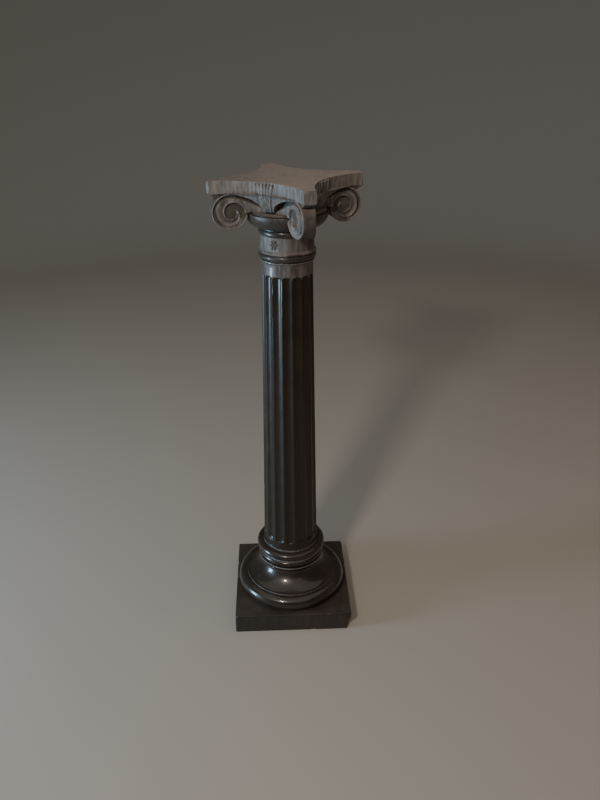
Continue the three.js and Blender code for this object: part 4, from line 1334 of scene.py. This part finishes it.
def add_light(title, azimuth, elevation, distance, size, power, shade, mirrored):
    """A soft rectangular light. Azimuth 0 is in front, positive to the right, seen from above.
    Where it isn't mirrored, it lights the stone without a reflection of its own."""
    a, e = math.radians(azimuth), math.radians(elevation)
    direction = Vector((math.sin(a) * math.cos(e), -math.cos(a) * math.cos(e), math.sin(e)))
    data = bpy.data.lights.new(title, "AREA")
    data.shape = "RECTANGLE"
    data.size, data.size_y = size
    data.energy = power
    data.color = shade
    light = bpy.data.objects.new(title, data)
    light.location = Vector((0, 0, LIGHT_AIM)) + direction * distance
    light.rotation_mode = "QUATERNION"
    light.rotation_quaternion = direction.to_track_quat("Z", "Y")
    light.visible_glossy = mirrored
    bpy.context.scene.collection.objects.link(light)


def add_world(strength, shade):
    """Even light from all round."""
    world = bpy.data.worlds.new("studio")
    world.use_nodes = True
    nodes = Nodes(world.node_tree)
    background = nodes.add("ShaderNodeBackground", {"Color": (*shade, 1), "Strength": strength})
    nodes.add("ShaderNodeOutputWorld", {"Surface": background.outputs["Background"]})
    bpy.context.scene.world = world


# Operators


class COLUMN_OT_stage(bpy.types.Operator):
    """Set up the camera, the pale floor and the soft lights"""

    bl_idname = "column.stage"
    bl_label = "Stage"

    def execute(self, context):
        add_camera()
        add_floor()
        add_world(*WORLD_LIGHT)
        for light in LIGHTS:
            add_light(*light)
        return {"FINISHED"}


class COLUMN_OT_plinth(bpy.types.Operator):
    """Make the square plinth with its broken corner and chipped edges"""

    bl_idname = "column.plinth"
    bl_label = "Plinth"

    def execute(self, context):
        colours = context.scene.column_colours
        stone = stone_material(
            "honed_stone", colours, clouding=0.7, gloss=(0.42, 0.7), wear=(0.2, 0.6, 0.55), dust=0.16,
            streaks=0.5, shine=0.4, coat=0.0,
        )
        mesh = ring_mesh("plinth_slab", plinth_rings())
        finished("plinth_slab", mesh, "plinth", stone, {"matte": plinth_matte})
        return {"FINISHED"}


class COLUMN_OT_base(bpy.types.Operator):
    """Make the turned base with its rolls, hollow and fillets"""

    bl_idname = "column.base"
    bl_label = "Base"

    def execute(self, context):
        colours = context.scene.column_colours
        stone = stone_material(
            "polished_stone", colours, clouding=0.85, gloss=(0.30, 0.6), wear=(0.2, 0.55, 0.9), dust=0.04,
            streaks=0.5, shine=0.4, coat=0.7,
        )
        mesh = ring_mesh("base_mouldings", base_rings())
        # The fillets' painted highlight lines are added to the exposure mask.
        masks = {"matte": base_matte, "exposed_and_highlit": base_worn_and_highlight}
        finished("base_mouldings", mesh, "base", stone, masks)
        return {"FINISHED"}


class COLUMN_OT_shaft(bpy.types.Operator):
    """Make the tapering shaft with its flutes, plain band and astragal"""

    bl_idname = "column.shaft"
    bl_label = "Shaft"

    def execute(self, context):
        colours = context.scene.column_colours
        depth = context.scene.column_sizes.flute_depth / MM
        stone = stone_material(
            "half_polished_stone", colours, clouding=0.4, gloss=(0.34, 0.6), wear=(0.2, 0.6, 0.5), dust=0.05,
            streaks=0.9, shine=0.33, coat=0.3,
        )
        mesh = ring_mesh("fluted_shaft", shaft_rings(depth))
        finished("fluted_shaft", mesh, "shaft", stone, {"matte": shaft_matte})
        return {"FINISHED"}


class COLUMN_OT_capital(bpy.types.Operator):
    """Make the capital with its bowl, rosettes, scrolls, tongues, flowers and abacus"""

    bl_idname = "column.capital"
    bl_label = "Capital"

    def execute(self, context):
        colours = context.scene.column_colours
        stone = stone_material(
            "matte_stone", colours, clouding=0.8, gloss=(0.24, 0.62), wear=(0.2, 0.7, 0.5), dust=0.9,
            streaks=0.6, shine=0.4, coat=0.0,
        )
        sizes = context.scene.column_sizes
        mesh = capital_mesh(sizes)
        # Besides real dust and wear, these masks add painted shade in the carving, painted highlights on the
        # strands and a painted sheen on the top.
        masks = {
            "matte": capital_matte,
            "dust_and_sheen": capital_dust_and_sheen,
            "exposed_and_highlit": lambda places: capital_rubbed_and_highlight(places, sizes.capital_turn),
            "grime_and_shade": lambda places: capital_grime_and_shade(places, sizes.capital_turn),
        }
        finished("scroll_capital", mesh, "capital", stone, masks)
        return {"FINISHED"}


class COLUMN_PT_panel(bpy.types.Panel):
    """Lists the column's steps, sizes and colours"""

    bl_label = "Stone column"
    bl_idname = "COLUMN_PT_panel"
    bl_space_type = "VIEW_3D"
    bl_region_type = "UI"
    bl_category = "Column"

    def draw(self, context):
        for operator in OPERATORS:
            self.layout.operator(operator.bl_idname)
        for settings in (context.scene.column_sizes, context.scene.column_colours):
            for name in settings.bl_rna.properties.keys():
                if name not in ("rna_type", "name"):
                    self.layout.prop(settings, name)


OPERATORS = (COLUMN_OT_stage, COLUMN_OT_plinth, COLUMN_OT_base, COLUMN_OT_shaft, COLUMN_OT_capital)
CLASSES = (ColumnSizes, ColumnColours, *OPERATORS, COLUMN_PT_panel)


def register():
    """Registers the classes and hangs the settings on the scene."""
    for cls in CLASSES:
        bpy.utils.register_class(cls)
    bpy.types.Scene.column_sizes = PointerProperty(type=ColumnSizes)
    bpy.types.Scene.column_colours = PointerProperty(type=ColumnColours)


def unregister():
    """Takes the settings and the classes away again."""
    del bpy.types.Scene.column_sizes
    del bpy.types.Scene.column_colours
    for cls in reversed(CLASSES):
        bpy.utils.unregister_class(cls)


def main():
    register()
    bpy.ops.column.stage()
    bpy.ops.column.plinth()
    bpy.ops.column.base()
    bpy.ops.column.shaft()
    bpy.ops.column.capital()
    bpy.context.view_layer.update()


if __name__ == "__main__":
    main()
